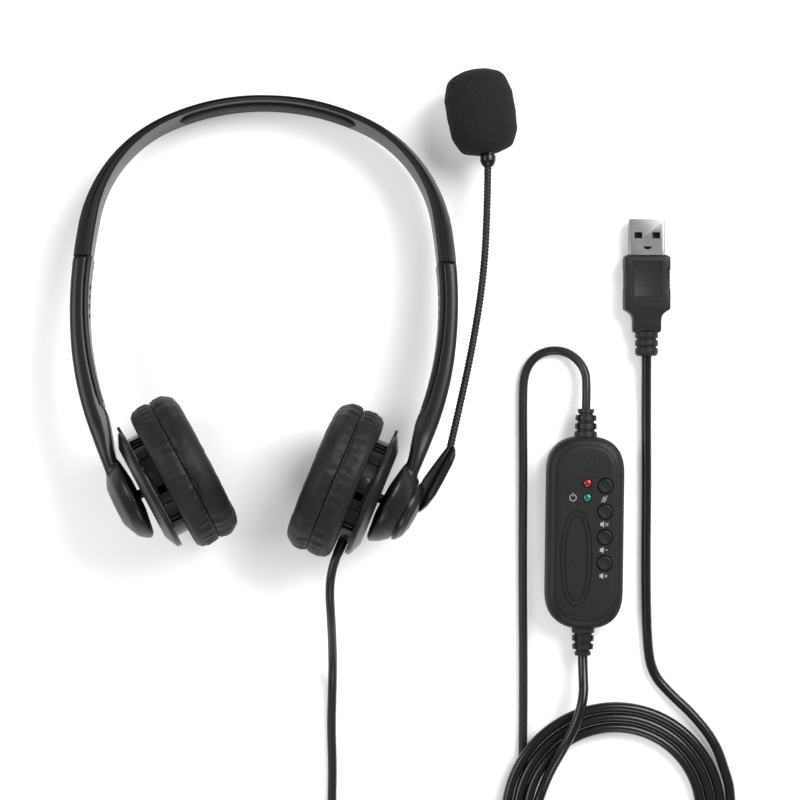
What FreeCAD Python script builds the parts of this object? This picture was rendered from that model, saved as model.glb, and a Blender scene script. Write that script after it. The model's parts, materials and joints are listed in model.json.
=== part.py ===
"""Office headset: sprung headband, sliding arms, cups on ball joints, boom microphone,
in-line controller and a USB lead, laid flat on a surface. Millimetres, +Z up."""
import FreeCAD
import Part
import math
import os
import re
import Sketcher
from FreeCAD import Placement, Rotation, Vector

doc = FreeCAD.newDocument("office_headset")
X_AXIS, Y_AXIS, Z_AXIS = Vector(1, 0, 0), Vector(0, 1, 0), Vector(0, 0, 1)
ORIGIN = Vector(0, 0, 0)
SIDES = (("left", -1), ("right", 1))

# ---------------------------------------------------------------- driving sizes
SIZES = {
    # headband: three tangent arcs on each side of the crown, measured on the outside
    "crown_radius": 78.3, "crown_turn": 25.15, "shoulder_radius": 51.5, "shoulder_turn": 54.65,
    "side_radius": 145.7, "band_end_turn": 4.4, "band_crown_wall": 3.0,
    "shoulder_inner_radius": 42.0, "side_inner_radius": 199.0,
    "band_width": 20.0, "band_end_width": 15.4, "edge_round": 1.0,
    "pad_half_turn": 23.0, "pad_strip_width": 12.0, "pad_strip_wall": 1.2,
    # slide tongue and the arm around it
    "tongue_inset": 2.6326, "tongue_wall": 1.6, "tongue_width": 9.6, "tongue_root": 7.0,
    "tongue_length": 33.0, "slide_gap": 0.4, "run_gap": 0.3,
    "arm_width": 15.4, "arm_top_thickness": 6.4, "arm_outer_turn": 23.2,
    "arm_inner_heading": 82.4, "arm_inner_radius": 105.6, "arm_inner_turn": 29.2,
    "cover_wall": 1.4, "spring_wall": 0.3, "screw_radius": 0.9, "screw_head_radius": 1.7,
    "screw_head_height": 1.0,
    # ball joint, in the frame of a cup: the disc's rim lies at 0 and +Z goes to the ear
    "ball_inset": 20.8326, "ball_y": -136.0, "bulb_slant": 27.0, "left_slant": 29.0,
    "right_slant": 21.65,
    "ball_set": 7.0, "ball_radius": 2.4, "ball_gap": 0.3, "collar_wall": 0.8, "collar_height": 3.4,
    "stem_radius": 1.6, "socket_wall": 1.2, "bulb_radius": 13.2, "bulb_back_radius": 10.6,
    "bulb_front": 4.9, "bulb_back": 12.3, "bulb_wall": 1.3,
    # cup
    "disc_radius": 21.2, "disc_flat_radius": 16.5, "disc_depth": 3.0, "disc_wall": 1.3,
    "rim_height": 0.8, "wall_radius": 18.0, "cup_wall": 1.4, "baffle_set": 5.6, "baffle_wall": 1.4,
    "flange_radius": 21.0, "baffle_hole": 10.6, "driver_radius": 12.6, "driver_depth": 4.4,
    "cup_screw_circle": 14.4, "boss_radius": 1.5, "slot_width": 5.0, "slot_height": 2.6,
    "pad_radius": 25.2, "pad_front": 21.6, "pad_hole": 10.0, "pad_gap": 0.3, "pad_lip": 18.8,
    "scrim_wall": 0.4,
    # boom, in the frame of the right arm's bulb
    "hub_gap": 0.3, "hub_radius": 10.6, "hub_apex": 16.6, "hub_web": 1.2, "pin_radius": 2.0,
    "pin_head_radius": 3.4, "pin_head_height": 0.8, "pod_half_width": 4.5, "pod_split": 16.6,
    "boom_lift": -1.0, "neck_radius": 1.3, "neck_length": 24.0, "neck_gap": 0.7,
    "neck_heading": 12.5, "foam_lean": 10.0, "foam_radius": 11.6, "foam_half_length": 14.0,
    "capsule_radius": 4.6, "capsule_length": 9.0, "mic_collar_radius": 2.6, "mic_collar_length": 4.0,
    # controller, in its own frame: the origin is the middle of its underside
    "controller_width": 26.0, "controller_length": 65.0, "controller_height": 13.0,
    "controller_round": 11.0, "controller_bevel": 2.4, "controller_split": 6.0,
    "controller_wall": 1.6, "button_radius": 2.5, "button_x": 6.35, "button_first_y": 15.9,
    "button_pitch": 8.66, "button_proud": 0.6, "button_travel": 0.5, "button_clearance": 0.25,
    "button_flange": 1.0,
    "lamp_radius": 1.5, "lamp_x": 0.25, "lamp_first_y": 16.7, "lamp_pitch": 4.9,
    "board_set": 5.2, "board_wall": 1.6, "relief_length": 9.2, "relief_radius": 3.9,
    "relief_end_radius": 2.7,
    # plug, in its own frame: the shell meets the overmould at 0 and +Y goes to the tip
    "plug_axis_height": 4.2, "shell_width": 12.0, "shell_height": 4.5, "shell_reach": 12.4,
    "shell_seat": 4.0, "shell_wall": 0.3, "mould_width": 15.7, "mould_height": 8.0,
    "mould_length": 18.3, "neck_width": 9.6, "plug_relief_radius": 3.9, "plug_relief_end": -34.0,
    # cords
    "headset_cord_radius": 1.5, "usb_cord_radius": 1.7, "cup_relief_radius": 1.75,
    "cup_relief_end": 22.5, "cup_relief_set": 2.7,
    "store_coil_x": 29.1, "store_coil_y": -190.9, "store_coil_inner": 12.0,
    "store_coil_outer": 21.0, "store_coil_height": 6.2,
    "usb_coil_x": 109.1, "usb_coil_y": -170.2, "usb_coil_inner": 25.8, "usb_coil_outer": 41.8,
    "usb_coil_height": 3.6, "usb_coil_tilt": 2.64,
    # where the crown and the controller and plug lie on the surface
    "crown_x": -8.8, "crown_y": 72.5, "lay_turn": -0.95,
    "controller_x": 98, "controller_y": -73.9, "controller_turn": -0.8,
    "plug_x": 119.4, "plug_y": 19.7,
}
sheet = doc.addObject("Spreadsheet::Sheet", "Sizes")
for row, (alias, number) in enumerate(SIZES.items(), start=1):
    sheet.set(f"A{row}", str(number))
    sheet.setAlias(f"A{row}", alias)
doc.recompute()


def size(alias):
    """The value of a cell of the sheet."""
    return float(sheet.get(alias))


def bound(text):
    """An expression on cell aliases, as FreeCAD's expression engine wants it."""
    return re.sub(r"[a-z_]{3,}", lambda word: "Sizes." + word.group(0), text)


def number(text):
    """What such an expression comes to now."""
    return float(sheet.evalExpression(bound(text)))


# ---------------------------------------------------------------- ways of making a piece
def body(label, place=Placement()):
    piece = doc.addObject("PartDesign::Body", label)
    piece.Label = label
    piece.Placement = place
    return piece


def outline(piece, role, corners, lift="0"):
    """A closed sketch on one of the body's origin planes, each corner held by two expressions."""
    sketch = piece.newObject("Sketcher::SketchObject", piece.Label + "_outline")
    plane = [item for item in piece.Origin.OriginFeatures if item.Role == role][0]
    sketch.AttachmentSupport = [(plane, "")]
    sketch.MapMode = "FlatFace"
    if lift != "0":
        sketch.setExpression("AttachmentOffset.Base.z", bound(lift))
    points = [Vector(number(across), number(along), 0) for across, along in corners]
    count = len(points)
    for i in range(count):
        sketch.addGeometry(Part.LineSegment(points[i], points[(i + 1) % count]))
    for i in range(count):
        sketch.addConstraint(Sketcher.Constraint("Coincident", i, 2, (i + 1) % count, 1))
    for i, corner in enumerate(corners):
        for kind, text, axis in (("DistanceX", corner[0], -2), ("DistanceY", corner[1], -1)):
            if text == "0":
                sketch.addConstraint(Sketcher.Constraint("PointOnObject", i, 1, axis))
                continue
            which = sketch.addConstraint(Sketcher.Constraint(kind, -1, 1, i, 1, number(text)))
            sketch.setExpression(f"Constraints[{which}]", bound(text))
    return sketch


def disc(piece, radius, x="0", y="0", lift="0"):
    """A sketched circle on the body's XY plane."""
    sketch = piece.newObject("Sketcher::SketchObject", piece.Label + "_circle")
    plane = [item for item in piece.Origin.OriginFeatures if item.Role == "XY_Plane"][0]
    sketch.AttachmentSupport = [(plane, "")]
    sketch.MapMode = "FlatFace"
    if lift != "0":
        sketch.setExpression("AttachmentOffset.Base.z", bound(lift))
    centre = Vector(number(x), number(y), 0)
    sketch.addGeometry(Part.Circle(centre, Z_AXIS, number(radius)))
    held = sketch.addConstraint(Sketcher.Constraint("Radius", 0, number(radius)))
    sketch.setExpression(f"Constraints[{held}]", bound(radius))
    for kind, text, axis in (("DistanceX", x, -2), ("DistanceY", y, -1)):
        if text == "0":
            sketch.addConstraint(Sketcher.Constraint("PointOnObject", 0, 3, axis))
            continue
        which = sketch.addConstraint(Sketcher.Constraint(kind, -1, 1, 0, 3, number(text)))
        sketch.setExpression(f"Constraints[{which}]", bound(text))
    return sketch


def turned(label, corners, place=Placement()):
    """A body of revolution about its own Z axis; corners are (radius, height)."""
    piece = body(label, place)
    spin = piece.newObject("PartDesign::Revolution", label + "_spin")
    spin.Profile = outline(piece, "XZ_Plane", corners)
    spin.ReferenceAxis = (spin.Profile[0], ["V_Axis"])
    spin.Angle = 360
    return piece


def raised(piece, sketch, length, both_ways=False):
    pad = piece.newObject("PartDesign::Pad", piece.Label + "_pad")
    pad.Profile = sketch
    pad.setExpression("Length", bound(length))
    pad.Midplane = both_ways
    return pad


def sunk(piece, sketch, length, up=False, both_ways=False):
    """A pocket that has to take material away."""
    doc.recompute()
    before = piece.Tip.Shape.Volume
    pocket = piece.newObject("PartDesign::Pocket", piece.Label + "_pocket")
    pocket.Profile = sketch
    pocket.setExpression("Length", bound(length))
    pocket.Reversed = up
    pocket.Midplane = both_ways
    doc.recompute()
    if pocket.Shape.Volume > before - 1e-6:
        raise ValueError(f"{piece.Label}: a pocket cuts nothing")
    return pocket


def around(piece, feature, count, angle=360):
    """The feature repeated round the body's Z axis."""
    pattern = piece.newObject("PartDesign::PolarPattern", piece.Label + "_pattern")
    pattern.Originals = [feature]
    axis = [item for item in piece.Origin.OriginFeatures if item.Role == "Z_Axis"][0]
    pattern.Axis = (axis, [""])
    pattern.Angle = angle
    pattern.Occurrences = count
    piece.Tip = pattern
    return pattern


def rectangle(half_x, half_y, x="0", y="0"):
    """Four corners about a middle, as expressions."""
    return [(f"{x} {sx} ({half_x})", f"{y} {sy} ({half_y})")
            for sx, sy in (("-", "-"), ("+", "-"), ("+", "+"), ("-", "+"))]


def primitive(kind, name, place=Placement(), **sizes):
    """A Part primitive with its sizes bound to expressions."""
    piece = doc.addObject("Part::" + kind, name)
    for key, text in sizes.items():
        piece.setExpression(key, bound(text))
    piece.Placement = place
    return piece


def joined(label, pieces, place=Placement()):
    fuse = doc.addObject("Part::MultiFuse", label)
    fuse.Label = label
    fuse.Shapes = pieces
    fuse.Placement = place
    return fuse


def less(label, base, tool, place=Placement()):
    cut = doc.addObject("Part::Cut", label)
    cut.Label = label
    cut.Base, cut.Tool = base, tool
    cut.Placement = place
    return cut


def group(label, pieces, place=Placement()):
    """Separate solids that share one node."""
    many = doc.addObject("Part::Compound", label)
    many.Label = label
    many.Links = pieces
    many.Placement = place
    return many


def shaped(label, shape, place=Placement()):
    """A piece whose shape is worked out from the sheet in code."""
    piece = doc.addObject("Part::Feature", label)
    piece.Label = label
    piece.Shape = shape
    piece.Placement = place
    return piece


def at(x=0.0, y=0.0, z=0.0, axis=Z_AXIS, angle=0.0):
    return Placement(Vector(x, y, z), Rotation(axis, angle))


NODES = []


def node(piece):
    """Marks a sub-part that gets a file of its own."""
    NODES.append(piece)
    return piece


# ---------------------------------------------------------------- the band's outer line
def arc_run(start, heading, turns):
    """Tangent arcs, each (radius, degrees); the heading is measured down from +X."""
    edges, point = [], start
    for radius, turn in turns:
        hub = point + Vector(-radius * math.sin(math.radians(heading)),
                             -radius * math.cos(math.radians(heading)), 0)

        def on_arc(angle):
            return hub + Vector(radius * math.sin(math.radians(angle)),
                                radius * math.cos(math.radians(angle)), 0)

        edges.append(Part.Arc(point, on_arc(heading + turn / 2), on_arc(heading + turn)).toShape())
        heading += turn
        point = on_arc(heading)
    return edges, point


crown_turns = [(size("crown_radius"), size("crown_turn")),
               (size("shoulder_radius"), size("shoulder_turn")),
               (size("side_radius"), size("band_end_turn"))]
outer_edges, outer_end = arc_run(ORIGIN, 0, crown_turns)

# ---------------------------------------------------------------- where the groups lie
# The headset is drawn in the plane of its band, crown at the origin and cups towards -Y.
# It lies on the band's lower edge and on the rims of both ear pads, so that plane is tilted.
pad_reach = -size("ball_y") - (size("ball_set") + size("pad_front") / 2) * math.sin(
    math.radians(size("left_slant")))
band_half = size("band_width") / 2
lay_tilt = math.degrees(math.asin(size("pad_radius") / math.hypot(pad_reach, band_half))
                        - math.atan2(band_half, pad_reach))
LAY = (at(size("crown_x"), size("crown_y"), band_half * math.cos(math.radians(lay_tilt)))
       * at(angle=size("lay_turn")) * at(axis=X_AXIS, angle=-lay_tilt))


def cup_frame(side, slant):
    """Origin at the disc's rim, +Z to the ear, +X down towards the cup's foot."""
    lean = math.radians(slant)
    to_ear = Vector(-side * math.cos(lean), math.sin(lean), 0)
    to_foot = Vector(-side * math.sin(lean), -math.cos(lean), 0)
    third = to_ear.cross(to_foot)
    turn = Rotation(to_foot, third, to_ear, "ZXY")
    ball = Vector(side * (outer_end.x - size("ball_inset")), size("ball_y"), 0)
    return Placement(ball + to_ear * size("ball_set"), turn)


CUPS = {name: cup_frame(side, size(name + "_slant")) for name, side in SIDES}
BULBS = {name: cup_frame(side, size("bulb_slant")) for name, side in SIDES}
BOOM = (BULBS["right"] * at(axis=Z_AXIS, angle=size("boom_lift")) * BULBS["right"].inverse())


# ---------------------------------------------------------------- headband
def face_of(edges):
    return Part.Face(Part.Wire(Part.__sortEdges__(edges)))


def upright(face, width):
    """A face in the band's plane given its width across that plane."""
    return face.translated(Vector(0, 0, -width / 2)).extrude(Vector(0, 0, width))


def line(start, end):
    return Part.LineSegment(start, end).toShape()


inner_crown_radius = size("crown_radius") - size("band_crown_wall")
inner_turns = [(inner_crown_radius, size("crown_turn")),
               (size("shoulder_inner_radius"), size("shoulder_turn")),
               (size("side_inner_radius"), size("band_end_turn"))]
inner_crown = Vector(0, -size("band_crown_wall"), 0)
inner_edges, inner_end = arc_run(inner_crown, 0, inner_turns)
band_end_y = inner_end.y
half_face = face_of(outer_edges + inner_edges
                    + [line(ORIGIN, inner_crown), line(outer_end, inner_end)])
half_band = upright(half_face, size("band_width"))
reach = size("crown_radius") * 2
taper_end = Vector(0, band_end_y, 0)
for flip in (1, -1):
    slice_corners = [Vector(-reach, 0, flip * size("band_width") / 2),
                     Vector(-reach, 2 * band_end_y,
                            flip * (size("band_end_width") - size("band_width") / 2)),
                     Vector(-reach, 2 * band_end_y, flip * reach),
                     Vector(-reach, 0, flip * reach)]
    corner_cut = Part.Face(Part.makePolygon(slice_corners + slice_corners[:1]))
    half_band = half_band.cut(corner_cut.extrude(Vector(2 * reach, 0, 0)))
tongue_face = outer_end.x - size("tongue_inset") - size("tongue_wall") / 2
tongue_box = Part.makeBox(size("tongue_wall"), size("tongue_root") + size("tongue_length"),
                          size("tongue_width"),
                          Vector(tongue_face, band_end_y - size("tongue_length"),
                                 -size("tongue_width") / 2))
half_band = half_band.cut(tongue_box)
long_edges = [edge for edge in half_band.Edges
              if edge.Length > size("crown_radius") / 4 and abs(edge.BoundBox.ZMin) > 6
              and edge.BoundBox.XLength > 1]
half_band = half_band.makeFillet(size("edge_round"), long_edges)
band_shape = half_band.fuse(half_band.mirror(ORIGIN, X_AXIS)).removeSplitter()
node(shaped("headband_shell", band_shape.Solids[0], LAY))

pad_turn = [(inner_crown_radius, size("pad_half_turn"))]
under_turn = [(inner_crown_radius - size("pad_strip_wall"), size("pad_half_turn"))]
strip_top, strip_end = arc_run(inner_crown, 0, pad_turn)
under_crown = inner_crown - Vector(0, size("pad_strip_wall"), 0)
strip_under, under_end = arc_run(under_crown, 0, under_turn)
half_strip = upright(face_of(strip_top + strip_under + [line(inner_crown, under_crown),
                                                        line(strip_end, under_end)]),
                     size("pad_strip_width"))
strip_shape = half_strip.fuse(half_strip.mirror(ORIGIN, X_AXIS)).removeSplitter()
node(shaped("headband_pad", strip_shape.Solids[0], LAY))

# ---------------------------------------------------------------- arms
arm_top_y = band_end_y - size("slide_gap")
arm_top = Vector(outer_end.x, arm_top_y, 0)
arm_heading = size("crown_turn") + size("shoulder_turn") + size("band_end_turn")
arm_outer, arm_outer_end = arc_run(arm_top, arm_heading, [(size("side_radius"),
                                                           size("arm_outer_turn"))])
inner_top = arm_top - Vector(size("arm_top_thickness"), 0, 0)
arm_inner, arm_inner_end = arc_run(inner_top, size("arm_inner_heading"),
                                   [(size("arm_inner_radius"), size("arm_inner_turn"))])
cover_top = inner_top + Vector(size("cover_wall"), 0, 0)
cover_radius = size("arm_inner_radius") + size("cover_wall")
cover_line, cover_end = arc_run(cover_top, size("arm_inner_heading"),
                                [(cover_radius, size("arm_inner_turn"))])
bulb = BULBS["right"]
bulb_outer = bulb.multVec(Vector(-size("bulb_back_radius") + 1, 0, -size("bulb_back") + 0.7))
bulb_middle = bulb.multVec(Vector(0, 0, -(size("bulb_front") + size("bulb_back")) / 2))
bulb_inner = bulb.multVec(Vector(-size("bulb_radius") + 1, 0, -size("bulb_front") - 1))
arm_face = face_of(arm_outer + cover_line
                   + [line(arm_top, cover_top), line(arm_outer_end, bulb_outer),
                      line(bulb_outer, bulb_middle), line(bulb_middle, bulb_inner),
                      line(bulb_inner, cover_end)])
cover_face = face_of(arm_inner + cover_line
                     + [line(inner_top, cover_top), line(arm_inner_end, cover_end)])
channel = Part.makeBox(size("tongue_wall") + 2 * size("run_gap"),
                       size("tongue_length") + size("run_gap"),
                       size("tongue_width") + 2 * size("run_gap"),
                       Vector(tongue_face - size("run_gap"),
                              band_end_y - size("tongue_length") - size("run_gap"),
                              -size("tongue_width") / 2 - size("run_gap")))
spring_y = arm_top_y - 14.0
spring_length, spring_width, spring_room_gap = 11.0, 5.0, 0.6
spring_face = tongue_face - size("run_gap") - size("spring_wall")
spring_room = Part.makeBox(3.0, spring_length + 2 * spring_room_gap,
                           spring_width + 2 * spring_room_gap,
                           Vector(spring_face + size("spring_wall") - 3.0,
                                  spring_y - spring_length / 2 - spring_room_gap,
                                  -spring_width / 2 - spring_room_gap))


def bulb_shell():
    """The drum at an arm's foot that holds the ball joint, open towards the cup."""
    front, back = -size("bulb_front"), -size("bulb_back")
    wall, wide, narrow = size("bulb_wall"), size("bulb_radius"), size("bulb_back_radius")
    shoulder = front - 2.2
    lead_in = 0.8 * wall
    profile = [(0, back), (narrow, back), (wide - 1.0, back + 2.6), (wide, shoulder),
               (wide, front - lead_in), (wide - lead_in, front), (wide - wall, front),
               (wide - wall, shoulder - 0.2), (narrow - wall, back + wall), (0, back + wall)]
    corners = [Vector(radius, 0, height) for radius, height in profile]
    drum = Part.Face(Part.makePolygon(corners + corners[:1])).revolve(ORIGIN, Z_AXIS, 360)
    hollow = [Vector(0, 0, front), Vector(wide - wall, 0, front),
              Vector(wide - wall, 0, shoulder - 0.2), Vector(narrow - wall, 0, back + wall),
              Vector(0, 0, back + wall)]
    room = Part.Face(Part.makePolygon(hollow + hollow[:1])).revolve(ORIGIN, Z_AXIS, 360)
    return drum, room


def screw(length):
    """A pan-head screw: its head's face is at 0 and its shank goes along -Z."""
    head = Part.makeCylinder(size("screw_head_radius"), size("screw_head_height"),
                             Vector(0, 0, -size("screw_head_height")))
    shank = Part.makeCylinder(size("screw_radius"), length - size("screw_head_height"),
                              Vector(0, 0, -length))
    return head.fuse(shank)


drum, room = bulb_shell()
drum.Placement = bulb.multiply(drum.Placement)
room.Placement = bulb.multiply(room.Placement)
arm_screw_ys = (arm_inner_end.y + 12.0, arm_inner_end.y + 1.5)
arm_screw_list = []
for screw_y in arm_screw_ys:
    on_cover = Part.makeLine(Vector(0, screw_y, 0), Vector(100, screw_y, 0)).distToShape(
        cover_face)[1][0][1]
    arm_screw = screw(5.0)
    arm_screw.Placement = Placement(Vector(on_cover.x + 0.2, screw_y, 0), Rotation(Y_AXIS, -90))
    arm_screw_list.append(arm_screw)
screws = Part.makeCompound(arm_screw_list)
blade = upright(arm_face, size("arm_width")).cut(channel).cut(spring_room)
arm_shape = blade.cut(room).fuse(drum).cut(screws).removeSplitter()
arm_shape = max(arm_shape.Solids, key=lambda solid: solid.Volume)
cover_shape = upright(cover_face, size("arm_width")).cut(screws).cut(drum).cut(room)
for step in range(4):
    window = Part.makeBox(6, 1.6, 5, Vector(inner_top.x - 3, spring_y + 4.6 - 3.2 * step, -2.5))
    cover_shape = cover_shape.cut(window.common(upright(cover_face, size("arm_width"))))
cover_shape = max(cover_shape.Solids, key=lambda solid: solid.Volume)
leaf = Part.makeBox(size("spring_wall"), spring_length, spring_width,
                    Vector(spring_face, spring_y - spring_length / 2, -spring_width / 2))
for name, side in SIDES:
    mirror = (lambda shape: shape) if side > 0 else (lambda shape: shape.mirror(ORIGIN, X_AXIS))
    node(shaped(name + "_slide_tongue", mirror(tongue_box), LAY))
    node(shaped(name + "_arm_shell", mirror(arm_shape), LAY))
    node(shaped(name + "_arm_cover", mirror(cover_shape), LAY))
    node(shaped(name + "_arm_screws", mirror(screws), LAY))
    node(shaped(name + "_detent_spring", mirror(leaf), LAY))

# ---------------------------------------------------------------- ball joints
for name, side in SIDES:
    in_bulb, in_cup = LAY * BULBS[name], LAY * CUPS[name]
    ball_place = at(z=-size("ball_set"))
    socket_block = turned(name + "_socket_block", [
        ("0", "-bulb_back + bulb_wall"), ("ball_radius + ball_gap + collar_wall + ball_gap + socket_wall",
                                          "-bulb_back + bulb_wall"),
        ("ball_radius + ball_gap + collar_wall + ball_gap + socket_wall", "-bulb_front - 1.7"),
        ("bulb_radius - bulb_wall", "-bulb_front - 1.7"),
        ("bulb_radius - bulb_wall", "-bulb_front - 0.3"), ("0", "-bulb_front - 0.3")])
    hollow_ball = primitive("Sphere", name + "_socket_hollow", ball_place,
                            Radius="ball_radius + ball_gap + collar_wall + ball_gap")
    node(less(name + "_ball_socket", socket_block, hollow_ball, in_bulb))

    collar_block = primitive("Cylinder", name + "_collar_block",
                             at(z=-size("ball_set") - size("collar_height") / 2),
                             Radius="ball_radius + ball_gap + collar_wall",
                             Height="collar_height")
    collar_ball = primitive("Sphere", name + "_collar_ball", ball_place,
                            Radius="ball_radius + ball_gap + collar_wall")
    collar_core = primitive("Sphere", name + "_collar_core", ball_place,
                            Radius="ball_radius + ball_gap")
    collar_solid = doc.addObject("Part::MultiCommon", name + "_collar_solid")
    collar_solid.Shapes = [collar_block, collar_ball]
    node(less(name + "_pivot_collar", collar_solid, collar_core, in_cup))

    ball = primitive("Sphere", name + "_stud_ball", ball_place, Radius="ball_radius")
    stem = primitive("Cylinder", name + "_stud_stem", ball_place, Radius="stem_radius",
                     Height="ball_set - disc_depth + disc_wall")
    foot = primitive("Cylinder", name + "_stud_foot", at(z=-size("disc_depth") + size("disc_wall")),
                     Radius="stem_radius * 2.4", Height="disc_wall")
    node(joined(name + "_ball_stud", [ball, stem, foot], in_cup))

# ---------------------------------------------------------------- cups
for name, side in SIDES:
    in_cup = LAY * CUPS[name]
    back = turned(name + "_cup_back", [
        ("stem_radius", "-disc_depth"), ("disc_flat_radius", "-disc_depth"),
        ("disc_radius", "-rim_height"), ("disc_radius", "rim_height"),
        ("wall_radius - cup_wall / 2", "rim_height"),
        ("disc_flat_radius - cup_wall / 2", "-disc_depth + disc_wall"),
        ("stem_radius", "-disc_depth + disc_wall")], in_cup)
    head_hole = sunk(back, disc(back, "screw_head_radius", x="cup_screw_circle",
                                lift="-disc_depth"), "screw_head_height", up=True)
    around(back, head_hole, 3)
    shank_hole = sunk(back, disc(back, "screw_radius", x="cup_screw_circle",
                                 lift="-disc_depth"), "disc_wall", up=True)
    around(back, shank_hole, 3)
    node(back)

    front = turned(name + "_cup_front" if side < 0 else "undrilled_front", [
        ("wall_radius - cup_wall", "rim_height"), ("wall_radius", "rim_height"),
        ("wall_radius", "baffle_set"), ("flange_radius", "baffle_set"),
        ("flange_radius", "baffle_set + baffle_wall"), ("baffle_hole", "baffle_set + baffle_wall"),
        ("baffle_hole", "baffle_set"), ("wall_radius - cup_wall", "baffle_set")], in_cup)
    boss = raised(front, disc(front, "boss_radius", x="cup_screw_circle",
                              lift="-disc_depth + disc_wall"),
                  "disc_depth - disc_wall + baffle_set")
    around(front, boss, 3)
    bore = sunk(front, disc(front, "screw_radius", x="cup_screw_circle",
                            lift="-disc_depth + disc_wall"), "disc_depth + 1", up=True)
    around(front, bore, 3)
    slot = outline(front, "YZ_Plane", rectangle("slot_width / 2", "slot_height / 2",
                                                y="rim_height + baffle_set / 2"),
                   lift="-wall_radius - 1")
    slots = sunk(front, slot, "cup_wall + 2", up=True)
    around(front, slots, 4)
    if side > 0:
        relief_hole = primitive("Cylinder", "cup_relief_hole",
                                at(size("wall_radius") / 2, 0, size("cup_relief_set"), Y_AXIS, 90),
                                Radius="cup_relief_radius", Height="wall_radius")
        front.Placement = Placement()
        front = less(name + "_cup_front", front, relief_hole, in_cup)
    node(front)

    screw_list = []
    for turn in range(3):
        one = screw(4.6)
        one.rotate(ORIGIN, X_AXIS, 180)
        one.translate(Vector(size("cup_screw_circle"), 0, -size("disc_depth")))
        one.rotate(ORIGIN, Z_AXIS, 120 * turn)
        screw_list.append(one)
    node(shaped(name + "_cup_screws", Part.makeCompound(screw_list), in_cup))

    node(turned(name + "_driver", [
        ("0", "baffle_set - driver_depth"), ("driver_radius * 0.66", "baffle_set - driver_depth"),
        ("driver_radius * 0.66", "baffle_set - driver_depth / 2"), ("driver_radius", "baffle_set - 1.2"),
        ("driver_radius", "baffle_set"), ("0", "baffle_set")], in_cup))
    node(turned(name + "_pad_scrim", [
        ("0", "baffle_set + baffle_wall"), ("baffle_hole + 0.6", "baffle_set + baffle_wall"),
        ("baffle_hole + 0.6", "baffle_set + baffle_wall + scrim_wall"),
        ("0", "baffle_set + baffle_wall + scrim_wall")], in_cup))
    node(turned(name + "_ear_pad", [
        ("pad_hole", "baffle_set + baffle_wall + scrim_wall + pad_gap"),
        ("flange_radius + pad_gap", "baffle_set + baffle_wall + scrim_wall + pad_gap"),
        ("flange_radius + pad_gap", "baffle_set - pad_gap"), ("pad_lip", "baffle_set - pad_gap"),
        ("pad_lip", "baffle_set - 0.9"), ("pad_radius - 1.4", "baffle_set - 0.7"),
        ("pad_radius", "baffle_set + 1.4"), ("pad_radius", "pad_front * 0.5"),
        ("pad_radius - 0.6", "pad_front * 0.7"), ("pad_radius - 2.7", "pad_front * 0.9"),
        ("pad_radius - 6.2", "pad_front"), ("pad_radius - 10.6", "pad_front - 0.5"),
        ("pad_hole + 1.2", "pad_front - 3.4"), ("pad_hole", "pad_front - 7")], in_cup))

# ---------------------------------------------------------------- boom
in_bulb = LAY * BULBS["right"]
pin_stem = primitive("Cylinder", "pin_stem", at(z=-size("bulb_back"), axis=X_AXIS, angle=180),
                     Radius="pin_radius", Height="hub_gap * 2 + hub_web")
pin_head = primitive("Cylinder", "pin_head",
                     at(z=-size("bulb_back") - 2 * size("hub_gap") - size("hub_web"),
                        axis=X_AXIS, angle=180),
                     Radius="pin_head_radius", Height="pin_head_height")
node(joined("boom_pivot_pin", [pin_stem, pin_head], in_bulb))

in_boom = LAY * BOOM * BULBS["right"]
hub = turned("boom_hub_dome", [
    ("pin_radius + hub_gap", "-bulb_back - hub_gap"), ("hub_radius", "-bulb_back - hub_gap"),
    ("hub_radius - 0.4", "-bulb_back - 1.6"), ("hub_radius - 2.6", "-hub_apex + 1.3"),
    ("hub_radius - 6", "-hub_apex + 0.2"), ("0", "-hub_apex"),
    ("0", "-hub_apex + 1.1"), ("pin_head_radius + 1", "-hub_apex + 1.1"),
    ("pin_head_radius + 1", "-bulb_back - hub_gap - hub_web"),
    ("pin_radius + hub_gap", "-bulb_back - hub_gap - hub_web")])
pod = body("boom_pod")
raised(pod, outline(pod, "XZ_Plane", [
    ("-8.2", "-bulb_back - hub_gap - 0.2"), ("-12", "-bulb_back - hub_gap - 0.3"),
    ("-25.7", "-15.1"), ("-25.6", "-pod_split"), ("-3", "-pod_split"), ("-3", "-pod_split + 1.2"),
    ("-pin_head_radius - 1.4", "-bulb_back - hub_gap - hub_web")]), "pod_half_width * 2", both_ways=True)
node(joined("boom_hub", [hub, pod], in_boom))
cover = body("boom_cover", in_boom)
raised(cover, outline(cover, "XZ_Plane", [
    ("-2", "-pod_split"), ("-25.6", "-pod_split"), ("-25.2", "-18.2"), ("-21.2", "-19.3"),
    ("-9.2", "-19.2"), ("-4.4", "-18")]), "pod_half_width * 2", both_ways=True)
node(cover)

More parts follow.
